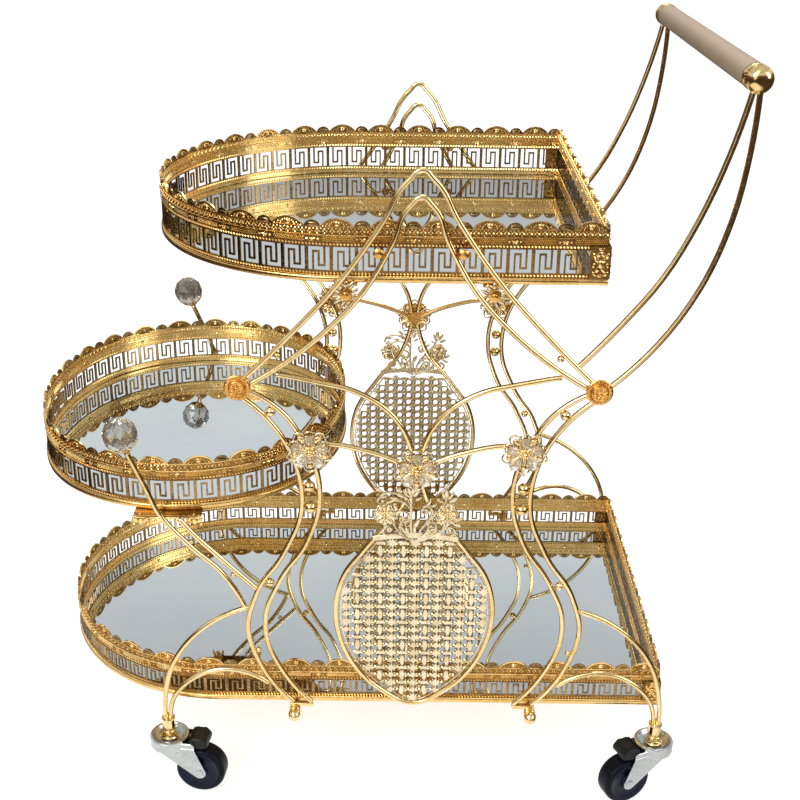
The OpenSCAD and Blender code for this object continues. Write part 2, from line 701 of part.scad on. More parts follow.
// Casters, drawn with the stem on the Z axis and the wheel trailing toward +X
axle_z = wheel_d / 2;
cup_foot = wheel_d + 1;
cup_h = 12;
cup_top = cup_foot + cup_h;
socket_top = 84;
socket_d = 13;
module at_caster(c) {
  whole() translate([c[1] * stem_x, c[2] * side_y, 0]) rotate(c[3]) children();
}
module caster_stems() {
  color("gold") for (c = CASTERS) at_caster(c) {
    translate([0, 0, cup_foot + 2]) cylinder(d = stem_d, h = socket_top - cup_foot - 2);
    translate([0, 0, cup_top + touch]) cylinder(d = socket_d + 4, h = 2);
    translate([0, 0, cup_top + 1]) cylinder(d = socket_d, h = socket_top - touch - cup_top - 1);
  }
}
// distance between a wheel's side and its fork
wheel_room = 1.2;
plate_y = wheel_w / 2 + wheel_room;
ear = [25, 57];
ear_r = 3;
ear_back = 9;
pin_d = 3;
// how far a fork plate stands in from the cup's edge, its lap on the cup, and the radius of its eye
blade_in = 6;
blade_lap = 2;
eye_r = 6;
seat_t = 1;
module fork_plate() {
  rotate([90, 0, 0]) linear_extrude(fork_t) difference() {
    hull() {
      translate([-cup_d / 2 + blade_in, cup_foot]) square([cup_d - 2 * blade_in, blade_lap]);
      translate([trail, axle_z]) circle(r = eye_r, $fn = 32);
    }
    translate([trail, axle_z]) circle(d = axle_d - 1);
  }
}
module ear_plate() {
  rotate([90, 0, 0]) linear_extrude(fork_t) difference() {
    union() {
      translate([cup_d / 2 - ear_back, cup_foot])
        square([ear[0] - cup_d / 2 + ear_back, ear[1] - cup_foot + ear_r]);
      translate(ear) circle(r = ear_r);
    }
    translate(ear) circle(d = pin_d + 2 * play);
  }
}
axle_head = 1.5;
module fork() {
  color("silver") {
    difference() {
      union() {
        translate([0, 0, cup_foot]) cylinder(d = cup_d, h = cup_h * 0.6);
        translate([0, 0, cup_foot + cup_h * 0.6]) cylinder(d1 = cup_d, d2 = cup_d * 0.7, h = cup_h * 0.4);
      }
      translate([0, 0, cup_foot + seat_t]) cylinder(d = stem_d + 2 * play, h = cup_h);
    }
    for (s = [0, 1]) mirror([0, s, 0]) translate([0, plate_y + fork_t, 0]) {
      fork_plate();
      ear_plate();
    }
    translate([trail, 0, axle_z]) rotate([90, 0, 0]) {
      translate([0, 0, -plate_y - fork_t - axle_head]) cylinder(d = axle_d, h = 2 * (plate_y + fork_t + axle_head));
      for (s = [0, 1]) mirror([0, 0, s]) translate([0, 0, plate_y + fork_t])
        cylinder(d = axle_d + 2 * axle_head, h = axle_head);
    }
  }
}
tread_round = 3;
module wheel() {
  color("midnightblue") translate([trail, 0, axle_z]) rotate([90, 0, 0]) rotate_extrude() {
    bore = axle_d / 2 + play;
    half = wheel_w / 2;
    rim = wheel_d / 2;
    polygon([[bore, -half - 1], [bore + 4, -half - 1], [bore + 5, -half + 2], [rim - 6, -half + 2],
      [rim - 5, -half], [rim - tread_round, -half], [rim, -half + tread_round], [rim, half - tread_round],
      [rim - tread_round, half], [rim - 5, half], [rim - 6, half - 2], [bore + 5, half - 2],
      [bore + 4, half + 1], [bore, half + 1]]);
  }
}
// the brake's outline from its pin, along and up
pedal = [[-4, -2.8], [8, -3.4], [16, -1], [16, 3], [11, 9], [1, 9], [-4, 3]];
module brake() {
  half = plate_y - 3 * touch;
  color("dimgray") {
    rotate([90, 0, 0]) translate([0, 0, -half]) linear_extrude(2 * half)
      polygon([for (p = pedal) ear + p]);
    translate([ear[0], 0, ear[1]]) rotate([90, 0, 0])
      translate([0, 0, -plate_y - fork_t]) cylinder(d = pin_d, h = 2 * (plate_y + fork_t));
  }
}

// Each node by its name
module side_piece(side, piece) {
  if (piece == "arch_wires") arch_wires(side);
  if (piece == "front_leg_wires") leg_wires(side, -1);
  if (piece == "rear_leg_wires") leg_wires(side, 1);
  if (piece == "handle_wires") handle_wires(side);
  if (piece == "butterfly_wires") butterfly_wires(side);
  if (piece == "caster_wires") caster_wires(side);
  if (piece == "support_wires") support_wires(side);
  if (piece == "pineapple_ring") pineapple_ring(side);
  if (piece == "pineapple_lattice") pineapple_lattice(side);
  if (piece == "pineapple_crown") pineapple_crown(side);
}
module tray_piece(t, piece) {
  if (piece == "mirror") mirror_plate(t);
  if (piece == "base") base(t);
  if (piece == "key_band") key_band(t);
  if (piece == "gallery") gallery(t);
}
module caster_piece(c, piece) {
  at_caster(c) {
    if (piece == "fork") fork();
    if (piece == "wheel") wheel();
    if (piece == "brake") brake();
  }
}
for (s = [["left_", -1], ["right_", 1]]) for (n = SIDE_PIECES)
  side_piece(s[1], n);
for (t = [["top_", TOP], ["middle_", MIDDLE], ["bottom_", BOTTOM]]) for (n = TRAY_PIECES)
  tray_piece(t[1], n);
for (c = CASTERS) for (n = CASTER_PIECES)
  caster_piece(c, n);
tray_corner_plates();
joint_knobs();
spacer_balls();
flowers();
flower_crystals();
top_tray_brackets();
top_tray_screws();
middle_tray_straps();
middle_tray_screws();
foot_lugs();
foot_screws();
crystal_cups();
crystal_balls();
grip_tube();
grip_caps();
caster_stems();
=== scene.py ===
from math import acos, asin, atan2, ceil, cos, degrees, hypot, pi, radians, sin, sqrt

import bmesh
import bpy
from mathutils import Matrix, Vector


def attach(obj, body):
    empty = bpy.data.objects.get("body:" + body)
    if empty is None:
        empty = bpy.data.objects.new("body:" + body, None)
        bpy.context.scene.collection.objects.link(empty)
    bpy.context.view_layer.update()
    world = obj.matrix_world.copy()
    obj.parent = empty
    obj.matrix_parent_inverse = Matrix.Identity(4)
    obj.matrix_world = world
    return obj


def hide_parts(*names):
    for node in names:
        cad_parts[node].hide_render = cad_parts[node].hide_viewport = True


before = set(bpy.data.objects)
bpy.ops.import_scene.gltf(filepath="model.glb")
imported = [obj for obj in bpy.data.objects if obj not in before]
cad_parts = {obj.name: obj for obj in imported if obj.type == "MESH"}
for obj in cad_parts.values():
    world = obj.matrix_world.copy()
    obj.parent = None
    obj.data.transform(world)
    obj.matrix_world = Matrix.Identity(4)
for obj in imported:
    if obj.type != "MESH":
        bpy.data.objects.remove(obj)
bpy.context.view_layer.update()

# Sizes are in millimetres, as the trolley's maker would write them, and become metres in the meshes.
# X is measured from the middle of the side frames, which stands 53.75 mm behind the trolley's middle.
MM = 0.001
FRAME_X = 53.75
SIDES = {"left": -1, "right": 1}
SIDE_Y = 195
WIRE_R = 2.5

# ---------------------------------------------------------------- shader groups


def shader_node(tree, kind, links=None, **settings):
    n = tree.nodes.new(kind)
    for k, v in settings.items():
        setattr(n, k, v)
    for k, v in (links or {}).items():
        if isinstance(v, bpy.types.NodeSocket):
            tree.links.new(v, n.inputs[k])
        else:
            n.inputs[k].default_value = v
    return n


def worked_out(tree, operation, a, b=0.5):
    """The outcome of one sum in a shader or a shape's tree."""
    return shader_node(tree, "ShaderNodeMath", {0: a, 1: b}, operation=operation).outputs[0]


def mapped(tree, value, low, high, at_low=0.0, at_high=1.0, way="LINEAR"):
    """A value that goes from at_low to at_high while the given one goes from low to high."""
    return shader_node(tree, "ShaderNodeMapRange", {"Value": value, "From Min": low, "From Max": high, "To Min": at_low,
                                                    "To Max": at_high}, interpolation_type=way).outputs[0]


def place_on_object(tree):
    return shader_node(tree, "ShaderNodeTexCoord").outputs["Object"]


def shader_group(name, inputs, outputs):
    g = bpy.data.node_groups.new(name, "ShaderNodeTree")
    for title, value in inputs:
        s = g.interface.new_socket(title, in_out="INPUT", socket_type="NodeSocketFloat")
        s.default_value = value
    for title in outputs:
        g.interface.new_socket(title, in_out="OUTPUT", socket_type="NodeSocketFloat")
    return g, g.nodes.new("NodeGroupInput").outputs, g.nodes.new("NodeGroupOutput").inputs


def make_tarnish_group():
    """Soft clouds of tone, with finer handling marks in them: Clouds and Marks run from 0 to 1."""
    g, i, o = shader_group("Tarnish clouds", [("Cloud Scale", 30), ("Mark Scale", 400)], ["Clouds", "Marks"])
    place = place_on_object(g)
    big = shader_node(g, "ShaderNodeTexNoise",
                      {"Vector": place, "Scale": i["Cloud Scale"], "Detail": 3.0, "Roughness": 0.55})
    fine = shader_node(g, "ShaderNodeTexNoise", {"Vector": place, "Scale": i["Mark Scale"], "Detail": 2.0})
    for source, low, high, out in ((big, 0.36, 0.64, "Clouds"), (fine, 0.42, 0.72, "Marks")):
        g.links.new(mapped(g, source.outputs["Fac"], low, high), o[out])
    return g


def make_grain_group():
    """Fine lines drawn along Y, as on brushed or drawn metal."""
    g, i, o = shader_group("Drawn grain", [("Across", 900), ("Along", 12)], ["Height"])
    split = shader_node(g, "ShaderNodeSeparateXYZ", {"Vector": place_on_object(g)})
    mixed = shader_node(g, "ShaderNodeCombineXYZ", {axis: worked_out(g, "MULTIPLY", split.outputs[axis], i[title])
                                                    for axis, title in zip("XYZ", ("Across", "Along", "Across"))})
    lines = shader_node(g, "ShaderNodeTexNoise", {"Vector": mixed.outputs[0], "Scale": 1.0, "Detail": 4.0})
    g.links.new(lines.outputs["Fac"], o["Height"])
    return g


def make_stamp_group():
    """The small dents and burrs of cheap stamped sheet."""
    g, i, o = shader_group("Stamped sheet", [("Dent Scale", 700), ("Burr Scale", 1800)], ["Height"])
    place = place_on_object(g)
    dents = shader_node(g, "ShaderNodeTexVoronoi", {"Vector": place, "Scale": i["Dent Scale"]})
    burrs = shader_node(g, "ShaderNodeTexNoise", {"Vector": place, "Scale": i["Burr Scale"], "Detail": 2.0})
    g.links.new(worked_out(g, "ADD", dents.outputs["Distance"], burrs.outputs["Fac"]), o["Height"])
    return g


TARNISH = make_tarnish_group()
GRAIN = make_grain_group()
STAMP = make_stamp_group()


def add_group(tree, group, **values):
    n = tree.nodes.new("ShaderNodeGroup")
    n.node_tree = group
    for k, v in values.items():
        n.inputs[k.replace("_", " ")].default_value = v
    return n.outputs


# ---------------------------------------------------------------- finishes


def mixed_colours(tree, share, a, b):
    """From colour a to colour b by a share; a colour is three numbers or another node's outcome."""
    a, b = (c if isinstance(c, bpy.types.NodeSocket) else (*c, 1) for c in (a, b))
    return shader_node(tree, "ShaderNodeMix", {0: share, 6: a, 7: b}, data_type="RGBA").outputs[2]


def finish(name, metallic, roughness, colours, clouds=(30, 400), bump=None, constants=None):
    """A Principled finish: colours blend over the clouds, and roughness runs between two values over the marks."""
    m = bpy.data.materials.new(name)
    m.use_nodes = True
    t = m.node_tree
    skin = t.nodes["Principled BSDF"]
    skin.inputs["Metallic"].default_value = metallic
    for k, v in (constants or {}).items():
        skin.inputs[k].default_value = v
    tone = add_group(t, TARNISH, Cloud_Scale=clouds[0], Mark_Scale=clouds[1])
    colour = mixed_colours(t, tone["Clouds"], colours[0], colours[1])
    if len(colours) > 2:
        colour = mixed_colours(t, worked_out(t, "MULTIPLY", tone["Marks"]), colour, colours[2])
    t.links.new(colour, skin.inputs["Base Color"])
    t.links.new(mapped(t, tone["Marks"], 0.0, 1.0, *roughness), skin.inputs["Roughness"])
    if bump:
        group, values, strength, depth = bump
        height = add_group(t, group, **values)["Height"]
        b = shader_node(t, "ShaderNodeBump", {"Height": height, "Strength": strength, "Distance": depth * MM})
        t.links.new(b.outputs["Normal"], skin.inputs["Normal"])
    return m


def stamped(dents, burrs, strength, depth):
    return STAMP, dict(Dent_Scale=dents, Burr_Scale=burrs), strength, depth


# name, metallic, roughness between the marks and in them, colours, and the relief of the surface
BRIGHT_GOLD = finish("Polished gold plate", 1, (0.09, 0.19),
    [(0.90, 0.69, 0.34), (0.70, 0.49, 0.19), (1.0, 0.84, 0.54)],
    clouds=(14, 260), bump=stamped(60, 300, 0.02, 0.1))
ORANGE_GOLD = finish("Orange gold nuts", 1, (0.26, 0.42),
    [(0.86, 0.48, 0.13), (0.62, 0.29, 0.05), (0.98, 0.70, 0.30)],
    clouds=(90, 500), bump=stamped(300, 900, 0.08, 0.15))
MOULDED_GOLD = finish("Orange gold moulding", 1, (0.18, 0.34),
    [(0.88, 0.58, 0.21), (0.68, 0.41, 0.11), (0.98, 0.76, 0.40)],
    clouds=(24, 300), bump=stamped(120, 500, 0.04, 0.15))
STAMPED_GOLD = finish("Stamped gold ornament", 1, (0.13, 0.3),
    [(1.0, 0.71, 0.29), (0.80, 0.48, 0.13), (1.0, 0.90, 0.54)],
    clouds=(70, 420), bump=stamped(500, 1200, 0.12, 0.15))
# painted shade: the backs and hollows behind raised ornament are coloured dark gold for the shade that falls there
HOLLOW_GOLD_PAINTED_SHADE = finish("Gold darkened as painted shade in the hollows", 1, (0.3, 0.5),
    [(0.34, 0.18, 0.046), (0.19, 0.09, 0.018), (0.48, 0.29, 0.10)],
    clouds=(110, 520), bump=stamped(700, 1400, 0.2, 0.2))
# painted shade: the thin lines of the key pattern, the strips beside it and the lobes are darkened gold for the shade
# on them
KEY_GOLD_PAINTED_SHADE = finish("Gold of the key pattern, darkened as painted shade", 1, (0.14, 0.3),
    [(0.34, 0.21, 0.085), (0.16, 0.09, 0.028), (0.62, 0.44, 0.21)],
    clouds=(55, 420), bump=stamped(400, 1400, 0.1, 0.15))
PALE_GOLD = finish("Pale gold filigree", 1, (0.18, 0.36),
    [(0.86, 0.74, 0.52), (0.64, 0.51, 0.30), (0.98, 0.89, 0.70)],
    clouds=(60, 500), bump=stamped(500, 1300, 0.15, 0.2))
# painted shade: the small rings between the crosses are darkened gold for the shade around the crosses
LATTICE_GOLD_PAINTED_SHADE = finish("Gold between the crosses, darkened as painted shade", 1, (0.2, 0.4),
    [(0.46, 0.37, 0.21), (0.26, 0.19, 0.09), (0.70, 0.58, 0.36)],
    clouds=(90, 500), bump=stamped(500, 1300, 0.15, 0.2))
CHAMPAGNE = finish("Satin champagne tube", 0.2, (0.32, 0.42),
    [(0.50, 0.39, 0.275), (0.46, 0.35, 0.25), (0.54, 0.42, 0.31)],
    clouds=(14, 300), bump=(GRAIN, dict(Across=1400, Along=14), 0.25, 0.1))
MIRROR = finish("Tray mirror", 1, (0.02, 0.05),
    [(0.64, 0.70, 0.73), (0.59, 0.66, 0.70)],
    clouds=(9, 60))
ZINC = finish("Zinc plated steel", 1, (0.22, 0.32),
    [(0.53, 0.55, 0.55), (0.44, 0.46, 0.47), (0.62, 0.64, 0.64)],
    clouds=(40, 260), bump=stamped(120, 400, 0.012, 0.1))
TREAD = finish("Wheel tread", 0, (0.35, 0.55),
    [(0.003, 0.004, 0.008), (0.006, 0.008, 0.015)],
    clouds=(70, 700), bump=stamped(900, 2500, 0.25, 0.15),
    constants={"Specular IOR Level": 0.1})
WHEEL_FACE = finish("Wheel side face", 0, (0.25, 0.4),
    [(0.003, 0.005, 0.018), (0.006, 0.010, 0.032)],
    clouds=(80, 600), bump=stamped(500, 2000, 0.15, 0.15),
    constants={"Specular IOR Level": 0.18})
BLACK_PLASTIC = finish("Moulded black plastic", 0, (0.3, 0.5),
    [(0.006, 0.007, 0.008), (0.014, 0.015, 0.016)],
    clouds=(60, 900), bump=stamped(1200, 3000, 0.3, 0.12),
    constants={"Specular IOR Level": 0.2})
CRYSTAL = finish("Cut crystal", 0, (0.0, 0.03),
    [(0.86, 0.84, 0.77), (0.66, 0.63, 0.56)],
    clouds=(120, 900),
    constants={"Transmission Weight": 0.9, "IOR": 1.66})
TINTED_CRYSTAL = finish("Champagne crystal", 0, (0.02, 0.08),
    [(0.80, 0.68, 0.46), (0.55, 0.43, 0.26)],
    clouds=(160, 900),
    constants={"Transmission Weight": 0.5, "IOR": 1.6})

# ---------------------------------------------------------------- shapes in millimetres: (corners, faces)


def around(n):
    """The angles of n even steps round a circle."""
    return [2 * pi * k / n for k in range(n)]


def about(axis, angle):
    """A turn about an axis, in degrees."""
    return Matrix.Rotation(radians(angle), 4, axis)


def joined(shapes):
    corners, faces = [], []
    for c, f in shapes:
        n = len(corners)
        corners += c
        faces += [tuple(k + n for k in face) for face in f]
    return corners, faces


def moved(shape, matrix):
    return [tuple(matrix @ Vector(c)) for c in shape[0]], shape[1]


def shifted(shape, x=0, y=0, z=0):
    return [(c[0] + x, c[1] + y, c[2] + z) for c in shape[0]], shape[1]


def mirrored_y(shape):
    return [(c[0], -c[1], c[2]) for c in shape[0]], [tuple(reversed(f)) for f in shape[1]]


def mirrored_x(shape):
    return [(-c[0], c[1], c[2]) for c in shape[0]], [tuple(reversed(f)) for f in shape[1]]


def turned(profile, sides=32):
    """A turned part about Z: the profile runs upward as (radius, height), and a radius of 0 closes it."""
    corners, faces, rows = [], [], []
    for r, z in profile:
        if r == 0:
            rows.append([len(corners)])
            corners.append((0, 0, z))
        else:
            rows.append(list(range(len(corners), len(corners) + sides)))
            corners += [(r * cos(a), r * sin(a), z) for a in around(sides)]
    for a, b in zip(rows, rows[1:]):
        for j in range(sides):
            k = (j + 1) % sides
            if len(a) == 1 and len(b) == 1:
                break
            if len(a) == 1:
                faces.append((a[0], b[k], b[j]))
            elif len(b) == 1:
                faces.append((a[j], a[k], b[0]))
            else:
                faces.append((a[j], a[k], b[k], b[j]))
    return corners, faces


def turned_ring(profile, sides=32):
    """A turned part with a hole: the closed profile runs up its outer side."""
    n = len(profile)
    corners = [(r * cos(a), r * sin(a), z) for a in around(sides) for r, z in profile]
    faces = [(j * n + i, (j + 1) % sides * n + i, (j + 1) % sides * n + (i + 1) % n, j * n + (i + 1) % n)
             for j in range(sides) for i in range(n)]
    return corners, faces


def bead(a, b, c, sides=6, rows=4):
    """A ball drawn out to the half lengths a, b and c."""
    profile = [(sin(pi * k / rows) if 0 < k < rows else 0, -cos(pi * k / rows)) for k in range(rows + 1)]
    corners, faces = turned(profile, sides)
    return [(x * a, y * b, z * c) for x, y, z in corners], faces


def plate(outline, low, high, edge=0.0):
    """A flat plate from an outline that runs anticlockwise, with a chamfer of the given size on its upper edge."""
    n = len(outline)
    corners = [(x, y, low) for x, y in outline]
    rows = [(0.0, high - edge), (edge, high)] if edge else [(0.0, high)]
    for inset, z in rows:
        for i, (x, y) in enumerate(outline):
            ax, ay = outline[i - 1]
            bx, by = outline[(i + 1) % n]
            u = Vector((x - ax, y - ay)).normalized()
            v = Vector((bx - x, by - y)).normalized()
            side = Vector((-u.y - v.y, u.x + v.x))
            size = inset / max(0.35, side.length_squared / 2) if inset else 0
            corners.append((x + side.x * size, y + side.y * size, z))
    faces = [tuple(reversed(range(n)))]
    for row in range(len(rows)):
        faces += [(row * n + i, row * n + (i + 1) % n, (row + 1) * n + (i + 1) % n, (row + 1) * n + i)
                  for i in range(n)]
    faces.append(tuple(range(len(rows) * n, (len(rows) + 1) * n)))
    return corners, faces


def circle(r, n=24, x=0, y=0):
    return [(x + r * cos(a), y + r * sin(a)) for a in around(n)]


def rounded(x0, y0, x1, y1, r, n=4):
    """A rectangle with round corners."""
    out = []
    for cx, cy, a in ((x1 - r, y0 + r, -90), (x1 - r, y1 - r, 0), (x0 + r, y1 - r, 90), (x0 + r, y0 + r, 180)):
        out += [(cx + r * cos(radians(a + 90 * k / n)), cy + r * sin(radians(a + 90 * k / n))) for k in range(n + 1)]
    return out


# ---------------------------------------------------------------- meshes and pieces


def mesh_of(shape, name="shape"):
    me = bpy.data.meshes.new(name)
    me.from_pydata([(x * MM, y * MM, z * MM) for x, y, z in shape[0]], [], shape[1])
    me.update()
    return me


def piece(name, parts, nodes, body="cart", sharp=38):
    """Joins parts, each a shape or a grown mesh with its finish, into one object that stands for CAD nodes."""
    whole = bmesh.new()
    finishes = []
    for part, material in parts:
        if material not in finishes:
            finishes.append(material)
        index = finishes.index(material)
        me = part if isinstance(part, bpy.types.Mesh) else mesh_of(shifted(part, x=FRAME_X))
        before = len(whole.faces)
        whole.from_mesh(me)
        whole.faces.ensure_lookup_table()
        for k in range(before, len(whole.faces)):
            whole.faces[k].material_index = index
            whole.faces[k].smooth = True
        bpy.data.meshes.remove(me)
    me = bpy.data.meshes.new(name)
    whole.to_mesh(me)
    whole.free()
    for layer in ("turn", "size"):
        if layer in me.attributes:
            me.attributes.remove(me.attributes[layer])
    for material in finishes:
        me.materials.append(material)
    me.set_sharp_from_angle(angle=radians(sharp))
    o = bpy.data.objects.new(name, me)
    bpy.context.scene.collection.objects.link(o)
    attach(o, body)
    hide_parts(*nodes)
    return o


# ---------------------------------------------------------------- Geometry Nodes


class Growth:
    """A Geometry Nodes tree with named inputs, which turns a starting mesh into a plain mesh."""

    def __init__(self, name, inputs):
        self.tree = bpy.data.node_groups.new(name, "GeometryNodeTree")
        face = self.tree.interface
        face.new_socket("Geometry", in_out="INPUT", socket_type="NodeSocketGeometry")
        self.keys = {}
        for title, kind in inputs.items():
            self.keys[title] = face.new_socket(title, in_out="INPUT", socket_type="NodeSocket" + kind).identifier
        face.new_socket("Geometry", in_out="OUTPUT", socket_type="NodeSocketGeometry")
        self.inputs = self.tree.nodes.new("NodeGroupInput").outputs
        self.output = self.tree.nodes.new("NodeGroupOutput").inputs[0]

    def add(self, kind, links=None, **settings):
        return shader_node(self.tree, kind, links, **settings)

    def end(self, geometry):
        solid = self.add("GeometryNodeRealizeInstances", {0: geometry})
        coated = self.add("GeometryNodeSetMaterial",
                          {"Geometry": solid.outputs[0], "Material": self.inputs["Material"]})
        self.tree.links.new(coated.outputs[0], self.output)

    def grow(self, start, **values):
        o = bpy.data.objects.new("growing", start)
        bpy.context.scene.collection.objects.link(o)
        m = o.modifiers.new("growth", "NODES")
        m.node_group = self.tree
        for title, value in values.items():
            m[self.keys[title.replace("_", " ")]] = value
        bpy.context.view_layer.update()
        dg = bpy.context.evaluated_depsgraph_get()
        me = bpy.data.meshes.new_from_object(o.evaluated_get(dg), preserve_all_data_layers=True, depsgraph=dg)
        o.modifiers.remove(m)
        bpy.data.objects.remove(o)
        return me


def make_wire_tree():
    """Round wire along every line of the starting mesh, with round ends."""
    g = Growth("Wire along a route", {"Radius": "Float", "Sides": "Int", "Material": "Material"})
    route = g.add("GeometryNodeMeshToCurve", {0: g.inputs["Geometry"]})
    ring = g.add("GeometryNodeCurvePrimitiveCircle", {"Resolution": g.inputs["Sides"], "Radius": g.inputs["Radius"]})
    tube = g.add("GeometryNodeCurveToMesh", {"Curve": route.outputs[0], "Profile Curve": ring.outputs[0]})
    half = worked_out(g.tree, "DIVIDE", g.inputs["Sides"], 2.0)
    tip = g.add("GeometryNodeMeshUVSphere",
                {"Segments": g.inputs["Sides"], "Rings": half, "Radius": g.inputs["Radius"]})
    ends = g.add("GeometryNodeCurveEndpointSelection", {"Start Size": 1, "End Size": 1})
    tips = g.add("GeometryNodeInstanceOnPoints", {"Points": route.outputs[0], "Selection": ends.outputs[0],
                                                   "Instance": tip.outputs[0]})
    both = g.add("GeometryNodeJoinGeometry")
    g.tree.links.new(tube.outputs[0], both.inputs[0])
    g.tree.links.new(tips.outputs[0], both.inputs[0])
    g.end(both.outputs[0])
    return g


def make_rail_tree():
    """A unit drawn flat, repeated and bent along a rail: its X runs along the rail, Y outward and Z up."""
    g = Growth("Pattern along a rail", {"Unit": "Object", "Count": "Int", "Pitch": "Float", "Material": "Material"})
    unit = g.add("GeometryNodeObjectInfo", {"Object": g.inputs["Unit"]}, transform_space="ORIGINAL")
    step = g.add("ShaderNodeCombineXYZ", {"X": g.inputs["Pitch"]})
    row = g.add("GeometryNodeMeshLine", {"Count": g.inputs["Count"], "Offset": step.outputs[0]})
    copies = g.add("GeometryNodeInstanceOnPoints", {"Points": row.outputs[0], "Instance": unit.outputs["Geometry"]})
    flat = g.add("GeometryNodeRealizeInstances", {0: copies.outputs[0]})
    here = g.add("ShaderNodeSeparateXYZ", {0: g.add("GeometryNodeInputPosition").outputs[0]})
    rail = g.add("GeometryNodeMeshToCurve", {0: g.inputs["Geometry"]})
    at = g.add("GeometryNodeSampleCurve", {"Curves": rail.outputs[0], "Length": here.outputs["X"]}, mode="LENGTH")
    out = g.add("ShaderNodeVectorMath", {0: (0, 0, 1), 1: at.outputs["Tangent"]}, operation="CROSS_PRODUCT")
    unit_out = g.add("ShaderNodeVectorMath", {0: out.outputs[0]}, operation="NORMALIZE")
    outward = g.add("ShaderNodeVectorMath", {0: unit_out.outputs[0], "Scale": here.outputs["Y"]}, operation="SCALE")
    upward = g.add("ShaderNodeCombineXYZ", {"Z": here.outputs["Z"]})
    side = g.add("ShaderNodeVectorMath", {0: at.outputs["Position"], 1: outward.outputs[0]}, operation="ADD")
    place = g.add("ShaderNodeVectorMath", {0: side.outputs[0], 1: upward.outputs[0]}, operation="ADD")
    bent = g.add("GeometryNodeSetPosition", {"Geometry": flat.outputs[0], "Position": place.outputs[0]})
    g.end(bent.outputs[0])
    return g


def make_points_tree():
    """A unit at each point of the starting mesh, turned by its "turn" and sized by its "size"."""
    g = Growth("Piece at each point", {"Unit": "Object", "Material": "Material"})
    unit = g.add("GeometryNodeObjectInfo", {"Object": g.inputs["Unit"]}, transform_space="ORIGINAL")
    turn = g.add("GeometryNodeInputNamedAttribute", {"Name": "turn"}, data_type="FLOAT_VECTOR")
    size = g.add("GeometryNodeInputNamedAttribute", {"Name": "size"}, data_type="FLOAT_VECTOR")
    way = g.add("FunctionNodeEulerToRotation", {0: turn.outputs[0]})
    copies = g.add("GeometryNodeInstanceOnPoints",
                   {"Points": g.inputs["Geometry"], "Instance": unit.outputs["Geometry"],
                    "Rotation": way.outputs[0], "Scale": size.outputs[0]})
    g.end(copies.outputs[0])
    return g


WIRES = make_wire_tree()
RAILS = make_rail_tree()
POINTS = make_points_tree()


def line_mesh(lines):
    """Lines of points in millimetres, in the trolley's place, as bare edges."""
    corners, edges = [], []
    for line in lines:
        n = len(corners)
        corners += [((x + FRAME_X) * MM, y * MM, z * MM) for x, y, z in line]
        edges += [(n + k, n + k + 1) for k in range(len(line) - 1)]
    me = bpy.data.meshes.new("lines")
    me.from_pydata(corners, edges, [])
    return me


def wires(lines, radius, material, sides=16):
    """Round wire along lines of points, with its finish, as piece() takes it."""
    return WIRES.grow(line_mesh(lines), Radius=radius * MM, Sides=sides, Material=material), material


def hold_unit(shape):
    o = bpy.data.objects.new("unit", mesh_of(shape, "unit"))
    bpy.context.scene.collection.objects.link(o)
    return o


def drop_unit(o):
    me = o.data
    bpy.data.objects.remove(o)
    bpy.data.meshes.remove(me)


def along_rail(shape, rail, pitch, count, material):
    """A unit repeated along a line of points, with its finish; the caller makes the unit as long as the pitch."""
    unit = hold_unit(shape)
    me = RAILS.grow(line_mesh([rail]), Unit=unit, Count=count, Pitch=pitch * MM, Material=material)
    drop_unit(unit)
    return me, material


def at_points(shape, spots, material):
    """A shape at each spot (place, turn, size), with its finish; size is one number or three."""
    me = bpy.data.meshes.new("spots")
    me.from_pydata([((p[0] + FRAME_X) * MM, p[1] * MM, p[2] * MM) for p, _, _ in spots], [], [])
    turn = me.attributes.new("turn", "FLOAT_VECTOR", "POINT")
    size = me.attributes.new("size", "FLOAT_VECTOR", "POINT")
    for k, (_, t, s) in enumerate(spots):
        turn.data[k].vector = t
        size.data[k].vector = s if isinstance(s, tuple) else (s, s, s)
    unit = hold_unit(shape)
    out = POINTS.grow(me, Unit=unit, Material=material)
    drop_unit(unit)
    return out, material


# ---------------------------------------------------------------- bent wire routes, as in the part's source


def as_number(p):
    return complex(p[0], p[1])


def dot(a, b):
    return (a * b.conjugate()).real


def middle_way(a, b, c):
    """Direction at b along the circle through three points."""
    v = (b - a) * abs(c - b) / abs(b - a) + (c - b) * abs(b - a) / abs(c - b)
    return v / abs(v)


def ways(p):
    def flipped(t, u):
        return 2 * dot(t, u) * u - t
    out = [middle_way(p[i - 1], p[i], p[i + 1]) for i in range(1, len(p) - 1)]
    first = flipped(out[0], (p[1] - p[0]) / abs(p[1] - p[0]))
    last = flipped(out[-1], (p[-1] - p[-2]) / abs(p[-1] - p[-2]))
    return [first] + out + [last]


def two_arcs(p, s, q, t):
    """Two arcs that join p and q smoothly, each as start, direction and end."""
    v = q - p
    b, k = dot(v, s + t), 2 * (1 - dot(s, t))
    d = abs(v) ** 2 / (2 * b) if k < 1e-6 else (sqrt(b * b + k * abs(v) ** 2) - b) / k
    m = (p + q + d * (s - t)) / 2
    w = q - d * t - p - d * s
    return [(p, s, m), (m, w / abs(w), q)]


def smooth_route(points, bend=4.0, length=16.0):
    """The route's points, close enough together for round wire."""
    p = [as_number(q) for q in points]
    w = ways(p)
    out = [p[0]]
    for i in range(len(p) - 1):
        for a, t, b in two_arcs(p[i], w[i], p[i + 1], w[i + 1]):
            c = b - a
            turn = 2 * atan2((t.conjugate() * c).imag, dot(t, c))
            n = max(1, ceil(max(abs(degrees(turn)) / bend, abs(c) / length)))
            for k in range(1, n + 1):
                part = turn * k / n
                chord = abs(c) * k / n if abs(turn) < 1e-3 else abs(c) * sin(part / 2) / sin(turn / 2)
                out.append(a + chord * t * complex(cos(part / 2), sin(part / 2)))
    return out


def flip(points):
    return [(-x, z) for x, z in points]


def over(points):
    """Carries a route from the rear half on over the middle."""
    return points + flip(reversed(points[:-1]))


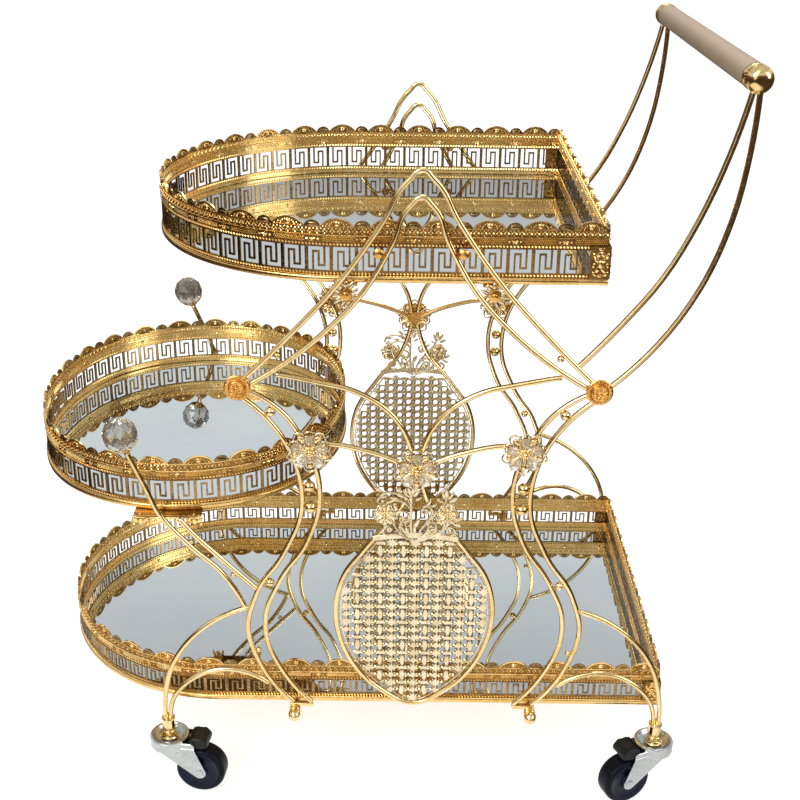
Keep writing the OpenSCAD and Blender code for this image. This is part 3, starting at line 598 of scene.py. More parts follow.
OUTER_ARCH = [(154, 452.6), (112, 495), (71, 541), (33, 595), (11, 632), (0, 641)]
INNER_ARCH = [(150.4, 446.6), (88, 492), (47, 537), (24, 578), (10, 610), (0, 618)]
OUTER_LEG = [(157.4, 434.9), (126, 402.5), (108, 362), (106, 320), (122, 277), (150, 231), (160, 190), (149, 148),
             (119, 104.6)]
INNER_LEG = [(151.6, 441.25), (120, 419), (103, 392.5), (92, 366), (89, 330), (100, 290), (128, 244), (142, 208),
             (142, 177), (128, 141), (101, 104.6)]
OUTER_HANDLE = [(169.2, 448.6), (207, 489), (238, 540), (259, 603), (267, 660), (268.6, 706.4)]
INNER_HANDLE = [(141.5, 469.2), (175, 508), (206, 550), (232, 603), (250, 655), (262.6, 706.4)]
UPPER_WING = [(124.2, 456.7), (90, 450), (55, 441), (28, 424), (10, 399), (3.8, 373.7)]
LOWER_WING = [(97.7, 389), (75, 389), (50, 384), (28, 377), (8.4, 367.6)]
HALF_RING = [(3.8, 358.3), (14, 325), (44, 285), (69, 246), (75, 203), (63, 159), (33, 121), (0, 104)]
OUTER_CASTER = [(161, 213), (203, 190), (233, 152), (245, 110), (246.8, 84.2)]
INNER_CASTER = [(143.2, 127), (166, 139), (191, 141), (218, 129), (236, 108), (241.2, 84.2)]
OUTER_SUPPORT = [(162.8, 215.9), (182, 251), (213, 283), (238, 315), (251, 348), (262.5, 376)]
INNER_SUPPORT = [(151.7, 236.1), (184, 269), (210, 297), (219, 308.6)]
JOINT = (160, 445)
HEART = (0, 366)
FOOT = (117, 92)
CRYSTAL_AT = (268, 396)
ARCH_BALLS = [(124, 475)]
LEG_BALLS = [(131.7, 420.8), (98, 346), (97.5, 324), (137.5, 242), (150.5, 165)]
SUPPORT_BALLS = [(209.5, 285.5), (172, 249.5)]
BALL_BITE = 0.4
WALL_SCREW = (36, 570)
UNDER_SCREW = (64, 531.5)
STRAP_X = (208, 255)
FLOWER_AT = [(-97, 384), (0, 366), (97, 384)]
SMALL_FLOWER_AT = [(-29, 320), (29, 320)]


def in_frame(points, side, out=0.0):
    """A route as a line in the plane of a side frame."""
    return [(c.real, side * (SIDE_Y + out), c.imag) for c in smooth_route(points)]


# ---------------------------------------------------------------- side frames

WIRE_PIECES = {
    "arch_wires": [over(OUTER_ARCH), over(INNER_ARCH)],
    "front_leg_wires": [flip(OUTER_LEG), flip(INNER_LEG)],
    "rear_leg_wires": [OUTER_LEG, INNER_LEG],
    "handle_wires": [OUTER_HANDLE, INNER_HANDLE],
    "butterfly_wires": [UPPER_WING, flip(UPPER_WING), LOWER_WING, flip(LOWER_WING)],
    "caster_wires": [OUTER_CASTER, INNER_CASTER, flip(OUTER_CASTER), flip(INNER_CASTER)],
    "support_wires": [flip(OUTER_SUPPORT), flip(INNER_SUPPORT)],
    "pineapple_ring": [over(HALF_RING)],
}
for side_name, side in SIDES.items():
    for wire_name, routes in WIRE_PIECES.items():
        node_name = f"{side_name}_{wire_name}"
        piece(f"{node_name}_bent", [wires([in_frame(r, side) for r in routes], WIRE_R, BRIGHT_GOLD)],
              [node_name])


def reach(p, points):
    return min(abs(as_number(p) - q) for q in smooth_route(points, 1.0, 1.0))


NO_TURN = (0, 0, 0)
ENDS = (-1, 1)
FRAME_ENDS = [(side, end) for side in SIDES.values() for end in ENDS]
balls = []
for side, end in FRAME_ENDS:
    spots = [(p, OUTER_ARCH, INNER_ARCH) for p in ARCH_BALLS] + [(p, OUTER_LEG, INNER_LEG) for p in LEG_BALLS]
    if end < 0:
        spots += [(p, OUTER_SUPPORT, INNER_SUPPORT) for p in SUPPORT_BALLS]
    for p, a, b in spots:
        r = min(reach(p, a), reach(p, b)) - WIRE_R + BALL_BITE
        balls.append(((end * p[0], side * SIDE_Y, p[1]), NO_TURN, r))
piece("spacer_balls_round", [at_points(bead(1, 1, 1, 20, 12), balls, BRIGHT_GOLD)], ["spacer_balls"])

# ---------------------------------------------------------------- knobs and screws


def facing(side, x, z, out=0.0):
    """From a part drawn along +Z to one that points outward from a side frame."""
    return Matrix.Translation((x, side * (SIDE_Y + out), z)) @ about("X", -90 * side)


KNOB = turned([(0, -2.6), (8.2, -2.6), (9, -1.9), (9, 2.4), (11.2, 2.6), (12, 3.1), (12, 3.9), (11.3, 4.5), (9.2, 4.7),
               (8.1, 4.4), (7.7, 4.9), (7.6, 5.9), (7.3, 7.4), (6.7, 7.7), (6.1, 7.0), (2.4, 6.9), (2.1, 7.9),
               (1.4, 8.4), (0, 8.6)], 40)
HUB = turned([(0, -2.6), (7, -2.6), (7.5, -2.1), (7.5, 2.1), (7, 2.6), (0, 2.6)], 32)
RIM_R, RIM_Z, RIM_BEADS = 10.2, 4.5, 18
PETAL_R, PETAL_Z, KNOB_PETALS = 4.4, 7.2, 7
knobs, knob_beads, knob_petals = [], [], []
for side, end in FRAME_ENDS:
    m = facing(side, end * JOINT[0], JOINT[1])
    knobs.append(moved(KNOB, m))
    knob_beads += [(tuple(m @ Vector((RIM_R * cos(a), RIM_R * sin(a), RIM_Z))), NO_TURN, 0.95)
                   for a in around(RIM_BEADS)]
    knob_petals += [(tuple(m @ Vector((PETAL_R * cos(a), PETAL_R * sin(a), PETAL_Z))),
                     (m @ Matrix.Rotation(a, 4, "Z")).to_euler(), (2.1, 1.5, 1.2)) for a in around(KNOB_PETALS)]
    if end > 0:
        knobs.append(moved(HUB, facing(side, *HEART)))
piece("joint_knobs_turned",
      [(joined(knobs), ORANGE_GOLD), at_points(bead(1, 1, 1, 8, 5), knob_beads, ORANGE_GOLD),
       at_points(bead(1, 1, 1, 10, 6), knob_petals, ORANGE_GOLD)], ["joint_knobs"])

DOME_SCREW = turned([(0, -5.4), (2, -5.4), (2, 2.6), (4.3, 2.6), (4.6, 3.1), (4.4, 4.2), (3.2, 5.2), (0, 5.6)], 24)
DISC_SCREW = turned([(0, -6.6), (2, -6.6), (2, -2.45), (5.2, -2.4), (5.6, -1.8), (5.4, -1.0), (3.4, -0.7), (2.6, -0.6),
                     (2.4, 0.1), (1.6, 0.6), (0, 0.8)], 28)
piece("top_tray_screws_turned",
      [(joined([moved(shape, facing(side, end * x, z)) for side, end in FRAME_ENDS
                for shape, (x, z) in ((DOME_SCREW, WALL_SCREW), (DISC_SCREW, UNDER_SCREW))]), ORANGE_GOLD)],
      ["top_tray_screws"])

MIDDLE_TRAY_Z, STRAP_T, CLEARANCE = 312, 2, 0.1
BUTTON = turned([(0, -3), (3, -2.9), (4.6, -2.3), (5.8, -1.0), (6, -0.1), (2, 0), (2, 2), (0, 2)], 28)
BUTTON_IN = 10.6
strap_foot = MIDDLE_TRAY_Z - CLEARANCE - STRAP_T
piece("middle_tray_screws_turned",
      [(joined([shifted(BUTTON, -x, side * (SIDE_Y - BUTTON_IN), strap_foot - CLEARANCE)
                for side in SIDES.values() for x in STRAP_X]), ORANGE_GOLD)], ["middle_tray_screws"])

FOOT_NUT = turned([(0, -16.9), (4, -16.9), (4, -2.6), (2, -2.6), (2, 2.6), (5.2, 2.6), (6.2, 3.6), (6.5, 5.4),
                   (6.5, 7.2), (5.9, 9.2), (4.5, 11.2), (2.4, 12.9), (0, 13.4)], 32)
piece("foot_screws_turned",
      [(joined([moved(FOOT_NUT, facing(side, end * FOOT[0], FOOT[1])) for side, end in FRAME_ENDS]), BRIGHT_GOLD)],
      ["foot_screws"])

LUG_BAR = plate(rounded(98.5, 98.8, 121.5, 102.8, 1.4), -2.5, 2.5, 0.5)
LUG_EYE = plate(circle(6, 28, FOOT[0], FOOT[1]), -2.5, 2.5, 0.6)
LUG_NECK = plate([(114, 92), (120, 92), (120, 100.8), (114, 100.8)], -2.3, 2.3, 0.4)


def standing(shape, side, end=1):
    """From a plate drawn as X and up, thick outward, to its place in a side frame."""
    out = [(x, side * SIDE_Y + side * z, y) for x, y, z in shape[0]]
    faces = shape[1] if side < 0 else [tuple(reversed(f)) for f in shape[1]]
    return mirrored_x((out, faces)) if end < 0 else (out, faces)


piece("foot_lugs_pressed",
      [(joined([standing(s, side, end) for side, end in FRAME_ENDS for s in (LUG_BAR, LUG_EYE, LUG_NECK)]),
        BRIGHT_GOLD)], ["foot_lugs"])

# leaves of a collar: shift along the strap, height, lean in degrees and size
COLLAR = [(-5.0, 306.5, -35, 0.95), (0, 305.5, 0, 1.1), (5.0, 306.5, 35, 0.95), (-3.2, 310, -75, 0.9),
          (3.2, 310, 75, 0.9), (-6.5, 302.8, -15, 0.7), (6.5, 302.8, 15, 0.7), (0, 310.5, 0, 0.7)]
COLLAR_X = (-256.5, -206.5)
ROSETTE_R, ROSETTE_LEAVES = 8.3, 11
SHELF_Z, SHELF_T = 538.9, 2
back = SIDE_Y - WIRE_R - CLEARANCE
brackets, straps, rosette, frill = [], [], [], []
for side in SIDES.values():
    turn = (lambda s: s) if side > 0 else mirrored_y
    for end in ENDS:
        x = end * UNDER_SCREW[0]
        shelf = plate(rounded(x - 10, back - 28, x + 10, back, 2.5), SHELF_Z, SHELF_Z + SHELF_T, 0.4)
        flange = plate(rounded(x - 7, 523.5, x + 7, SHELF_Z + SHELF_T, 4), -2, -0.7, 0.4)
        flange = ([(px, back + pz, py) for px, py, pz in flange[0]], [tuple(reversed(f)) for f in flange[1]])
        brackets += [turn(shelf), turn(flange)]
        for k, a in enumerate(around(ROSETTE_LEAVES)):
            spot = (x + ROSETTE_R * sin(a), side * (back - 0.5), UNDER_SCREW[1] + ROSETTE_R * cos(a))
            rosette.append((spot, (0, a, 0), (1.0, 0.5, 1.15 if k % 2 else 0.85)))
    straps.append(turn(plate(rounded(-263, back - 26, -200, back, 5), strap_foot, strap_foot + STRAP_T, 0.4)))
    # a collar of leaves at each end of the strap's outer edge
    frill += [((x + dx, side * (back - 1.4), z), (0, radians(lean), 0), (size, 0.7, size))
              for x in COLLAR_X for dx, z, lean, size in COLLAR]
bracket_leaf = bead(2.1, 1.6, 4.4, 8, 6)
piece("top_tray_brackets_pressed", [(joined(brackets), MOULDED_GOLD), at_points(bracket_leaf, rosette, PALE_GOLD)],
      ["top_tray_brackets"])
# the strap plate is coloured dark gold as painted shade behind its leaves
piece("middle_tray_straps_pressed", [(joined(straps), HOLLOW_GOLD_PAINTED_SHADE), at_points(bracket_leaf, frill, STAMPED_GOLD)],
      ["middle_tray_straps"])

# ---------------------------------------------------------------- trays

TRAYS = {"top": dict(rear=161, nose=63, half=189.5, z=541, wall=56),
         "middle": dict(half=182.5, z=MIDDLE_TRAY_Z, wall=55),
         "bottom": dict(rear=249, nose=195, half=178, z=91, wall=50)}
MOULDING_H, ROPE_H, RAIL_H, STRIP_H, SCALLOP_H, SHEET_T = 6, 4, 7, 6, 8, 1.4
GALLERY_H = SCALLOP_H + STRIP_H + RAIL_H
MID_INSET = 2.2
OVAL_END_R, OVAL_HALF_L, OVAL_X = 150, 156, 229
REAR_STEPS = 24


def d_outline(t, inset, step=2.5, length=9):
    """From the rear left corner along the left side, round the nose and back to the rear right corner."""
    r = t["half"] - inset
    x0, x1 = t["rear"] - inset, -t["nose"]
    n = max(1, round((t["rear"] - x1) / length))
    side = [(x0 + (x1 - x0) * k / n, -r) for k in range(n)]
    nose = [(r * cos(radians(a)) + x1, r * sin(radians(a)))
            for a in (-90 - step * k for k in range(int(180 / step) + 1))]
    return side + nose + [(x, -y) for x, y in reversed(side)]


def oval_outline(inset, step=2.5):
    """The middle tray's outline: two end radii and two side radii that meet smoothly."""
    h, a = TRAYS["middle"]["half"] - OVAL_END_R, OVAL_HALF_L
    side_r = (OVAL_END_R ** 2 - a * a - h * h) / (2 * (OVAL_END_R - a))
    s = side_r - a
    turn = degrees(atan2(h, s))
    e, l = OVAL_END_R - inset, side_r - inset
    out = []
    for cx, cy, r, a0, a1 in ((0, -h, e, -90, turn - 180), (s, 0, l, 180 + turn, 180 - turn),
                              (0, h, e, 180 - turn, turn), (-s, 0, l, turn, -turn), (0, -h, e, -turn, -90)):
        if a1 > a0:
            a0 += 360
        n = max(1, round((a0 - a1) / step))
        for k in range(n):
            angle = radians(a0 + (a1 - a0) * k / n)
            out.append((r * cos(angle) + cx - OVAL_X, r * sin(angle) + cy))
    return out


def outline(name, inset):
    return oval_outline(inset) if name == "middle" else d_outline(TRAYS[name], inset)


def hoop(name, profile, z=0.0):
    """Sweeps a closed profile of (inset, height) all round a tray; the profile runs up its outer side."""
    rows = [outline(name, inset) for inset, _ in profile]
    n, m = len(profile), len(rows[0])
    corners = [(rows[p][i][0], rows[p][i][1], z + profile[p][1]) for i in range(m) for p in range(n)]
    faces = [(i * n + p, i * n + (p + 1) % n, (i + 1) % m * n + (p + 1) % n, (i + 1) % m * n + p)
             for i in range(m) for p in range(n)]
    return corners, faces


def disc_plate(name, inset, low, high):
    """A flat plate inside a tray's outline."""
    return plate(list(reversed(outline(name, inset))), low, high)


def measured(line):
    return sum(hypot(b[0] - a[0], b[1] - a[1]) for a, b in zip(line, line[1:]))


def runs(name, inset):
    """The lines that the wall's patterns follow: one closed line, or the long run and the straight rear run."""
    line = outline(name, inset)
    if name == "middle":
        return [line + line[:1]]
    a, b = line[-1], line[0]
    return [line, [(a[0] + (b[0] - a[0]) * k / REAR_STEPS, a[1] + (b[1] - a[1]) * k / REAR_STEPS)
                   for k in range(REAR_STEPS + 1)]]


def repeat(name, make, pitch, z, material):
    """Repeats a unit that make(pitch) draws, as many whole times as each run of a tray's wall holds."""
    out = []
    for line in runs(name, MID_INSET):
        whole = measured(line)
        count = round(whole / pitch)
        fit = whole / count
        rail = [(x, y, z) for x, y in line]
        # a closed rail runs on a little past its start, for a unit that leans over the join
        if name == "middle":
            rail += [(x, y, z) for x, y in line[1:4]]
        out.append(along_rail(make(fit), rail, fit, count, material))
    return out


KEY_X = [0, 3.6, 5.4, 8.8, 10.6, 14.0, 15.6, 19.2, 22.3]
KEY_Z = [0, 3.6, 5.4, 16.1, 17.9, 21.5]
# openings of the pattern as left, foot, right and top
KEY_HOLES = [(0, 0, 3.6, 21.5), (3.6, 0, 14, 3.6), (10.6, 3.6, 14, 16.1),
             (15.6, 0, 19.2, 21.5), (5.4, 17.9, 15.6, 21.5), (5.4, 5.4, 8.8, 17.9)]


def key_unit(pitch, height):
    """One repeat of the pierced Greek key: a thin line of metal winds between two hooked openings, then a post."""
    columns, rows = len(KEY_X) - 1, len(KEY_Z) - 1

    def solid(i, k):
        if not (0 <= i < columns and 0 <= k < rows):
            return False
        x, z = (KEY_X[i] + KEY_X[i + 1]) / 2, (KEY_Z[k] + KEY_Z[k + 1]) / 2
        return not any(a < x < c and b < z < d for a, b, c, d in KEY_HOLES)
    sx, sz, t = pitch / KEY_X[-1], height / KEY_Z[-1], SHEET_T / 2
    corners, faces = [], []

    def add(*points):
        n = len(corners)
        corners.extend(points)
        faces.append(tuple(range(n, n + len(points))))
    for i in range(columns):
        for k in range(rows):
            if not solid(i, k):
                continue
            x0, x1, z0, z1 = KEY_X[i] * sx, KEY_X[i + 1] * sx, KEY_Z[k] * sz, KEY_Z[k + 1] * sz
            add((x0, -t, z0), (x1, -t, z0), (x1, -t, z1), (x0, -t, z1))
            add((x1, t, z0), (x0, t, z0), (x0, t, z1), (x1, t, z1))
            if not solid(i - 1, k):
                add((x0, t, z0), (x0, -t, z0), (x0, -t, z1), (x0, t, z1))
            if not solid(i + 1, k):
                add((x1, -t, z0), (x1, t, z0), (x1, t, z1), (x1, -t, z1))
            if not solid(i, k - 1):
                add((x0, t, z0), (x1, t, z0), (x1, -t, z0), (x0, -t, z0))
            if not solid(i, k + 1):
                add((x0, -t, z1), (x1, -t, z1), (x1, t, z1), (x0, t, z1))
    me = mesh_of((corners, faces))
    b = bmesh.new()
    b.from_mesh(me)
    bmesh.ops.remove_doubles(b, verts=b.verts, dist=1e-7)
    shape = ([tuple(c / MM for c in v.co) for v in b.verts], [tuple(v.index for v in f.verts) for f in b.faces])
    b.free()
    bpy.data.meshes.remove(me)
    return shape


def rope_unit(pitch, height=3.4):
    """One strand of a rope line, leaning along the wall."""
    strand = bead(pitch * 0.62, 1.5, height * 0.29)
    return shifted(moved(strand, about("Y", -43)), pitch / 2, 0, height / 2)


def point_unit(x, z, side, wide=0.62, out=1.25):
    """A small pyramid on one face of the sheet."""
    corners = [(x - wide, side * 0.5, z - wide), (x + wide, side * 0.5, z - wide), (x + wide, side * 0.5, z + wide),
               (x - wide, side * 0.5, z + wide), (x, side * out, z)]
    faces = [(0, 1, 4), (1, 2, 4), (2, 3, 4), (3, 0, 4)]
    return corners, faces if side < 0 else [tuple(reversed(f)) for f in faces]


STIPPLE_SHARE, STIPPLE_STEP, BLOSSOM_Z = 0.66, 1.7, 2.4


def stipple_unit(pitch):
    """A recessed panel of small points, and a small flower between two buds beside it."""
    long = pitch * STIPPLE_SHARE
    out = [point_unit(1.3 + k * STIPPLE_STEP + STIPPLE_STEP / 2 * (row % 2), 0.9 + 1.55 * row, side)
           for k in range(int(long / STIPPLE_STEP)) for row in range(3) for side in ENDS]
    middle = (long + pitch) / 2 + 0.6
    for turn in around(5):
        a = turn + pi / 2
        petal = moved(bead(1.5, 1.35, 0.95), Matrix.Rotation(-a, 4, "Y"))
        out.append(shifted(petal, middle + 1.7 * cos(a), 0, BLOSSOM_Z + 1.5 * sin(a)))
    out.append(shifted(bead(1.0, 1.6, 1.0), middle, 0, BLOSSOM_Z))
    out += [shifted(bead(1.7, 1.2, 1.0), middle + dx, 0, BLOSSOM_Z) for dx in (-4.9, 4.9)]
    return joined(out)


def leaf_unit(pitch):
    """Two slanted leaves that meet under a bead, for the strip under the scallops."""
    half = pitch / 4
    leaf = bead(2.1, 1.45, 0.95)
    parts = [shifted(moved(leaf, about("Y", a)), half * (1 + 2 * k), 0, 2.7)
             for k, a in ((0, -52), (1, 52))]
    parts += [shifted(bead(0.85, 1.5, 0.85), 2 * half, 0, 0.9), shifted(bead(0.95, 1.55, 0.95), 2 * half, 0, 4.4),
              shifted(bead(0.8, 1.35, 0.8), 0, 0, 4.8)]
    return joined(parts)


def arc_of(w, h):
    """The radius and the half angle of an arc of width w and height h."""
    r = (w * w / 4 + h * h) / (2 * h)
    return r, asin(min(1, w / 2 / r))


def arch_sheet(w, h, t, n=12, foot=0.8):
    """A sheet of width w and height h with an arched top, standing a little below Z = 0."""
    r, half = arc_of(w, h)
    line = [(-w / 2, -foot), (w / 2, -foot)]
    line += [(r * sin(a), r * cos(a) - r + h) for a in (half - 2 * half * k / n for k in range(n + 1))]
    return moved(plate(line, -t, t), about("X", 90))


def arch_bar(w, h, wide, t, n=12):
    """A bar bent to an arc of width w and height h, standing on Z = 0."""
    r, half = arc_of(w, h)
    corners, faces = [], []
    for a in (-half + 2 * half * k / n for k in range(n + 1)):
        for rr in (r - wide, r):
            corners += [(rr * sin(a), y, rr * cos(a) - r + h) for y in (-t, t)]
    for p in range(0, 4 * n, 4):
        faces += [(p + 2, p, p + 4, p + 6), (p + 1, p + 3, p + 7, p + 5), (p + 3, p + 2, p + 6, p + 7),
                  (p, p + 1, p + 5, p + 4)]
    faces += [(0, 2, 3, 1), (4 * n + 2, 4 * n, 4 * n + 1, 4 * n + 3)]
    return corners, [tuple(reversed(f)) for f in faces]


LARGE_SHARE = 0.70
SMALL_H = 6.2


def fan_shade_sheet_unit(pitch):
    """The sheet inside a large fan, coloured dark as painted shade where the fan is pierced."""
    w = pitch * LARGE_SHARE
    return shifted(arch_sheet(w - 1.2, SCALLOP_H - 0.7, 0.3), w / 2, 0, 0)


def fan_unit(pitch):
    """A large fan with a disc in a wreath of beads."""
    w, h = pitch * LARGE_SHARE, SCALLOP_H
    centre = w / 2
    out = [shifted(arch_bar(w, h, 0.95, 0.8), centre, 0, 0), shifted(bead(2.6, 1.2, 2.5, 12, 6), centre, 0, 3.0)]
    for a in (radians(-84 + 21 * k) for k in range(9)):
        out.append(shifted(bead(0.85, 0.95, 0.85), centre + 6.3 * sin(a), 0, 0.9 + 4.6 * cos(a)))
    for side in ENDS:
        for far, high, size in ((8.3, 2.9, 0.8), (9.6, 1.1, 1.0), (11.8, 0.9, 0.75)):
            out.append(shifted(bead(size, 0.9, size), centre + side * far, 0, high))
    return joined(out)


def lobe_unit(pitch):
    """The smooth, slightly bulging lobe between two fans."""
    w = pitch * LARGE_SHARE
    small = pitch - w
    shapes = [arch_sheet(small + 1.8, SMALL_H, 0.5), arch_bar(small + 1.8, SMALL_H, 0.7, 0.7, 8),
              shifted(bead(small / 2 - 1.2, 1.0, 2.3, 12, 6), 0, 0, 2.2)]
    return joined([shifted(shape, w + small / 2) for shape in shapes])


def wall_hoop(low, high, outside, inside, material):
    """A flat hoop of the wall of the tray in hand, between two heights and two insets."""
    return hoop(tray_name, [(outside, low), (outside, high), (inside, high), (inside, low)]), material


# heights of the flat hoops behind the ropes and behind the gallery, and the spacing of the patterns
SKIN_H, BACK_H = 3.9, RAIL_H + STRIP_H
ROPE_PITCH, KEY_PITCH, STIPPLE_PITCH, LEAF_PITCH, FAN_PITCH = 3.0, 21.7, 43.4, 6.4, 43.0

for tray_name, tray in TRAYS.items():
    z, wall = tray["z"], tray["wall"]
    gallery = z + wall - GALLERY_H
    # the mirror keeps its CAD plate and gets its silvering
    plate_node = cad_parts[f"{tray_name}_mirror"]
    plate_node.data.materials.clear()
    plate_node.data.materials.append(MIRROR)
    # rounded moulding at the foot and the pan under the mirror
    moulding = hoop(tray_name, [(0.9, 0), (0.3, 0.5), (0.0, 1.6), (0.0, 3.6), (0.25, 4.6), (1.0, 5.0), (4.0, 5.1),
                                (4.0, 0.4), (3.6, 0)], z)
    bead_line = hoop(tray_name, [(0.9, 4.7), (0.35, 5.1), (0.35, 5.6), (0.9, 6.0), (3.2, 6.0), (3.2, 4.7)], z)
    piece(f"{tray_name}_base_pressed", [(moulding, MOULDED_GOLD), (bead_line, BRIGHT_GOLD),
                                        (disc_plate(tray_name, 4.1, z, z + 1), MOULDED_GOLD)],
          [f"{tray_name}_base"], sharp=50)
    # pierced key band between two rope lines
    foot, top = z + MOULDING_H, gallery
    clear = top - foot - 2 * ROPE_H
    # the outer face of the hoops behind the ropes is coloured dark gold as painted shade
    band = [wall_hoop(low, low + SKIN_H, outside, inside, material) for low in (foot, top - SKIN_H)
            for outside, inside, material in ((1.7, 2.4, HOLLOW_GOLD_PAINTED_SHADE), (2.4, 2.9, MOULDED_GOLD))]
    for low in (foot + 0.1, top - ROPE_H + 0.6):
        band += repeat(tray_name, rope_unit, ROPE_PITCH, low, STAMPED_GOLD)
    # the strips beside the ropes and the key pattern are darkened gold as painted shade
    for low, high in ((foot + ROPE_H - 0.5, foot + ROPE_H), (top - ROPE_H, top - ROPE_H + 0.6)):
        band.append(wall_hoop(low, high, 1.2, 3.2, KEY_GOLD_PAINTED_SHADE))
    band += repeat(tray_name, lambda p: key_unit(p, clear + 0.4), KEY_PITCH, foot + ROPE_H - 0.2, KEY_GOLD_PAINTED_SHADE)
    piece(f"{tray_name}_key_band_pierced", band, [f"{tray_name}_key_band"])
    # rail, beaded strip and scallops
    rail, edge = gallery + 6.0, gallery + BACK_H
    # the outer face of the hoop behind the rail and the beaded strip is coloured dark gold as painted shade
    parts = [wall_hoop(gallery, edge, 1.7, 2.3, HOLLOW_GOLD_PAINTED_SHADE), wall_hoop(gallery, edge, 2.3, 2.8, MOULDED_GOLD)]
    parts.append((hoop(tray_name, [(1.2, -0.6), (0.6, -0.2), (0.6, 0.4), (1.2, 0.8), (2.9, 0.8), (3.6, 0.4),
                                   (3.6, -0.2), (2.9, -0.6)], rail), BRIGHT_GOLD))
    parts += repeat(tray_name, stipple_unit, STIPPLE_PITCH, gallery + 0.2, STAMPED_GOLD)
    parts += repeat(tray_name, leaf_unit, LEAF_PITCH, gallery + RAIL_H + 0.1, STAMPED_GOLD)
    parts.append(wall_hoop(edge - 0.3, edge + 0.3, 1.4, 3.0, STAMPED_GOLD))
    # the lobes between the fans are darkened gold as painted shade
    # the sheets inside the fans are coloured dark gold as painted shade where the fans are pierced
    for unit, material in ((fan_shade_sheet_unit, HOLLOW_GOLD_PAINTED_SHADE), (fan_unit, STAMPED_GOLD), (lobe_unit, KEY_GOLD_PAINTED_SHADE)):
        parts += repeat(tray_name, unit, FAN_PITCH, edge, material)
    piece(f"{tray_name}_gallery_pierced", parts, [f"{tray_name}_gallery"])

# corner plates with a leaf scroll pressed into each leg
corner_parts, corner_leaves = [], []
# leaves of the scroll: distance from the corner, share of the height, lean in degrees and size
CORNER_SCROLL = [(8.5, 0.10, 90, 0.9), (3.6, 0.16, 40, 0.9), (13.4, 0.16, -40, 0.9), (6.4, 0.30, -28, 1.1),
                 (10.8, 0.30, 28, 1.1), (2.6, 0.42, -12, 0.8), (14.4, 0.42, 12, 0.8), (8.5, 0.46, 0, 1.2),
                 (5.2, 0.58, 48, 1.0), (11.9, 0.58, -48, 1.0), (3.0, 0.72, 20, 0.9), (14.0, 0.72, -20, 0.9),
                 (7.0, 0.76, -35, 1.0), (10.2, 0.76, 35, 1.0), (8.5, 0.92, 90, 0.9)]
PLATE_LEG = 17.6
for tray_name in ("top", "bottom"):
    t = TRAYS[tray_name]
    low, high = t["z"] + MOULDING_H + CLEARANCE, t["z"] + t["wall"] - GALLERY_H - CLEARANCE
    for side in SIDES.values():
        x, y = t["rear"] + 0.6, t["half"] + 0.6
        legs = [plate([(x - PLATE_LEG, y - 1), (x - 0.3, y - 1), (x, y - 0.7), (x, y - 0.3), (x - 0.3, y),
                       (x - PLATE_LEG, y)], low, high, 0.2),
                plate([(x - 1, y - PLATE_LEG), (x, y - PLATE_LEG), (x, y - 0.3), (x - 0.3, y), (x - 0.7, y),
                       (x - 1, y - 0.3)], low, high, 0.2)]
        corner_parts += [s if side > 0 else mirrored_y(s) for s in legs]
        tall = high - low
        for u, v, a, size in CORNER_SCROLL:
            h = low + tall * v
            corner_leaves.append(((x - u, side * (y - 0.1), h), (0, radians(a), 0), (size, 0.6, size)))
            corner_leaves.append(((x - 0.1, side * (y - u), h), (radians(-a * side), 0, 0), (0.6, size, size)))
corner_leaf = bead(1.75, 1.75, 3.1, 8, 6)
# the corner plates are coloured dark gold as painted shade behind their leaves
piece("tray_corner_plates_embossed",
      [(joined(corner_parts), HOLLOW_GOLD_PAINTED_SHADE), at_points(corner_leaf, corner_leaves, STAMPED_GOLD)],
      ["tray_corner_plates"])

# ---------------------------------------------------------------- pineapple panels


def ring_half(z):
    """Half the room inside the ring at a height."""
    line = smooth_route(HALF_RING)
    for a, b in zip(line, line[1:]):
        if a.real > 3 and (a.imag - z) * (b.imag - z) <= 0 and a.imag != b.imag:
            return a.real + (b.real - a.real) * (z - a.imag) / (b.imag - a.imag) - WIRE_R
    return 0


def star(points, inner, outer, z0, z1):
    """A pointed star from z0 up to a peak at z1."""
    ring = [(r * cos(a), r * sin(a)) for k in range(points)
            for r, a in ((outer, 2 * pi * k / points), (inner, 2 * pi * (k + 0.5) / points))]
    corners, faces = plate(ring, z0, (z0 + z1) / 2)
    n = len(corners)
    top = faces.pop()
    corners.append((0, 0, z1))
    faces += [(top[k], top[(k + 1) % len(top)], n) for k in range(len(top))]
    return corners, faces


def leaf_bar(w, h, t):
    """A grooved leaf, pointed below."""
    line = [(0, -h / 2), (w / 2, -h * 0.28), (w / 2, h * 0.3), (w * 0.25, h / 2), (0, h * 0.38), (-w * 0.25, h / 2),
            (-w / 2, h * 0.3), (-w / 2, -h * 0.28)]
    return plate(line, -t / 2, t / 2, 0.35)


def both_faces(shape):
    """A flat ornament with its relief on both faces."""
    back = ([(x, y, -z) for x, y, z in shape[0]], [tuple(reversed(f)) for f in shape[1]])
    return joined([shape, back])


def little_ring(r, thick, n=10):
    return turned_ring([(r + thick * cos(a), thick * sin(a)) for a in around(4)], n)


def upright(side):
    """Turns a flat ornament so that it stands in a side frame with its face outward."""
    return (radians(90), 0, 0 if side < 0 else pi)


STAR = both_faces(star(9, 2.7, 5.3, 0, 1.1))
LEAF_BAR = leaf_bar(4.6, 11.4, 1.5)
CROSS_BAR = moved(leaf_bar(3.6, 9.6, 1.5), about("Z", 90))
DROP = plate([(0, -4.6), (2.1, -1.6), (3.4, -0.6), (3.4, 0.6), (2.1, 1.8), (1.2, 4.2), (-1.2, 4.2), (-2.1, 1.8),
              (-3.4, 0.6), (-3.4, -0.6), (-2.1, -1.6)], -0.7, 0.7, 0.3)
EYE = little_ring(4.0, 1.1)
COLUMN, ROW = 21.8, 17.6
PANEL_TOP, PANEL_FOOT = 287, 108
RIM_TOP, RIM_GAP = 296, 4.6

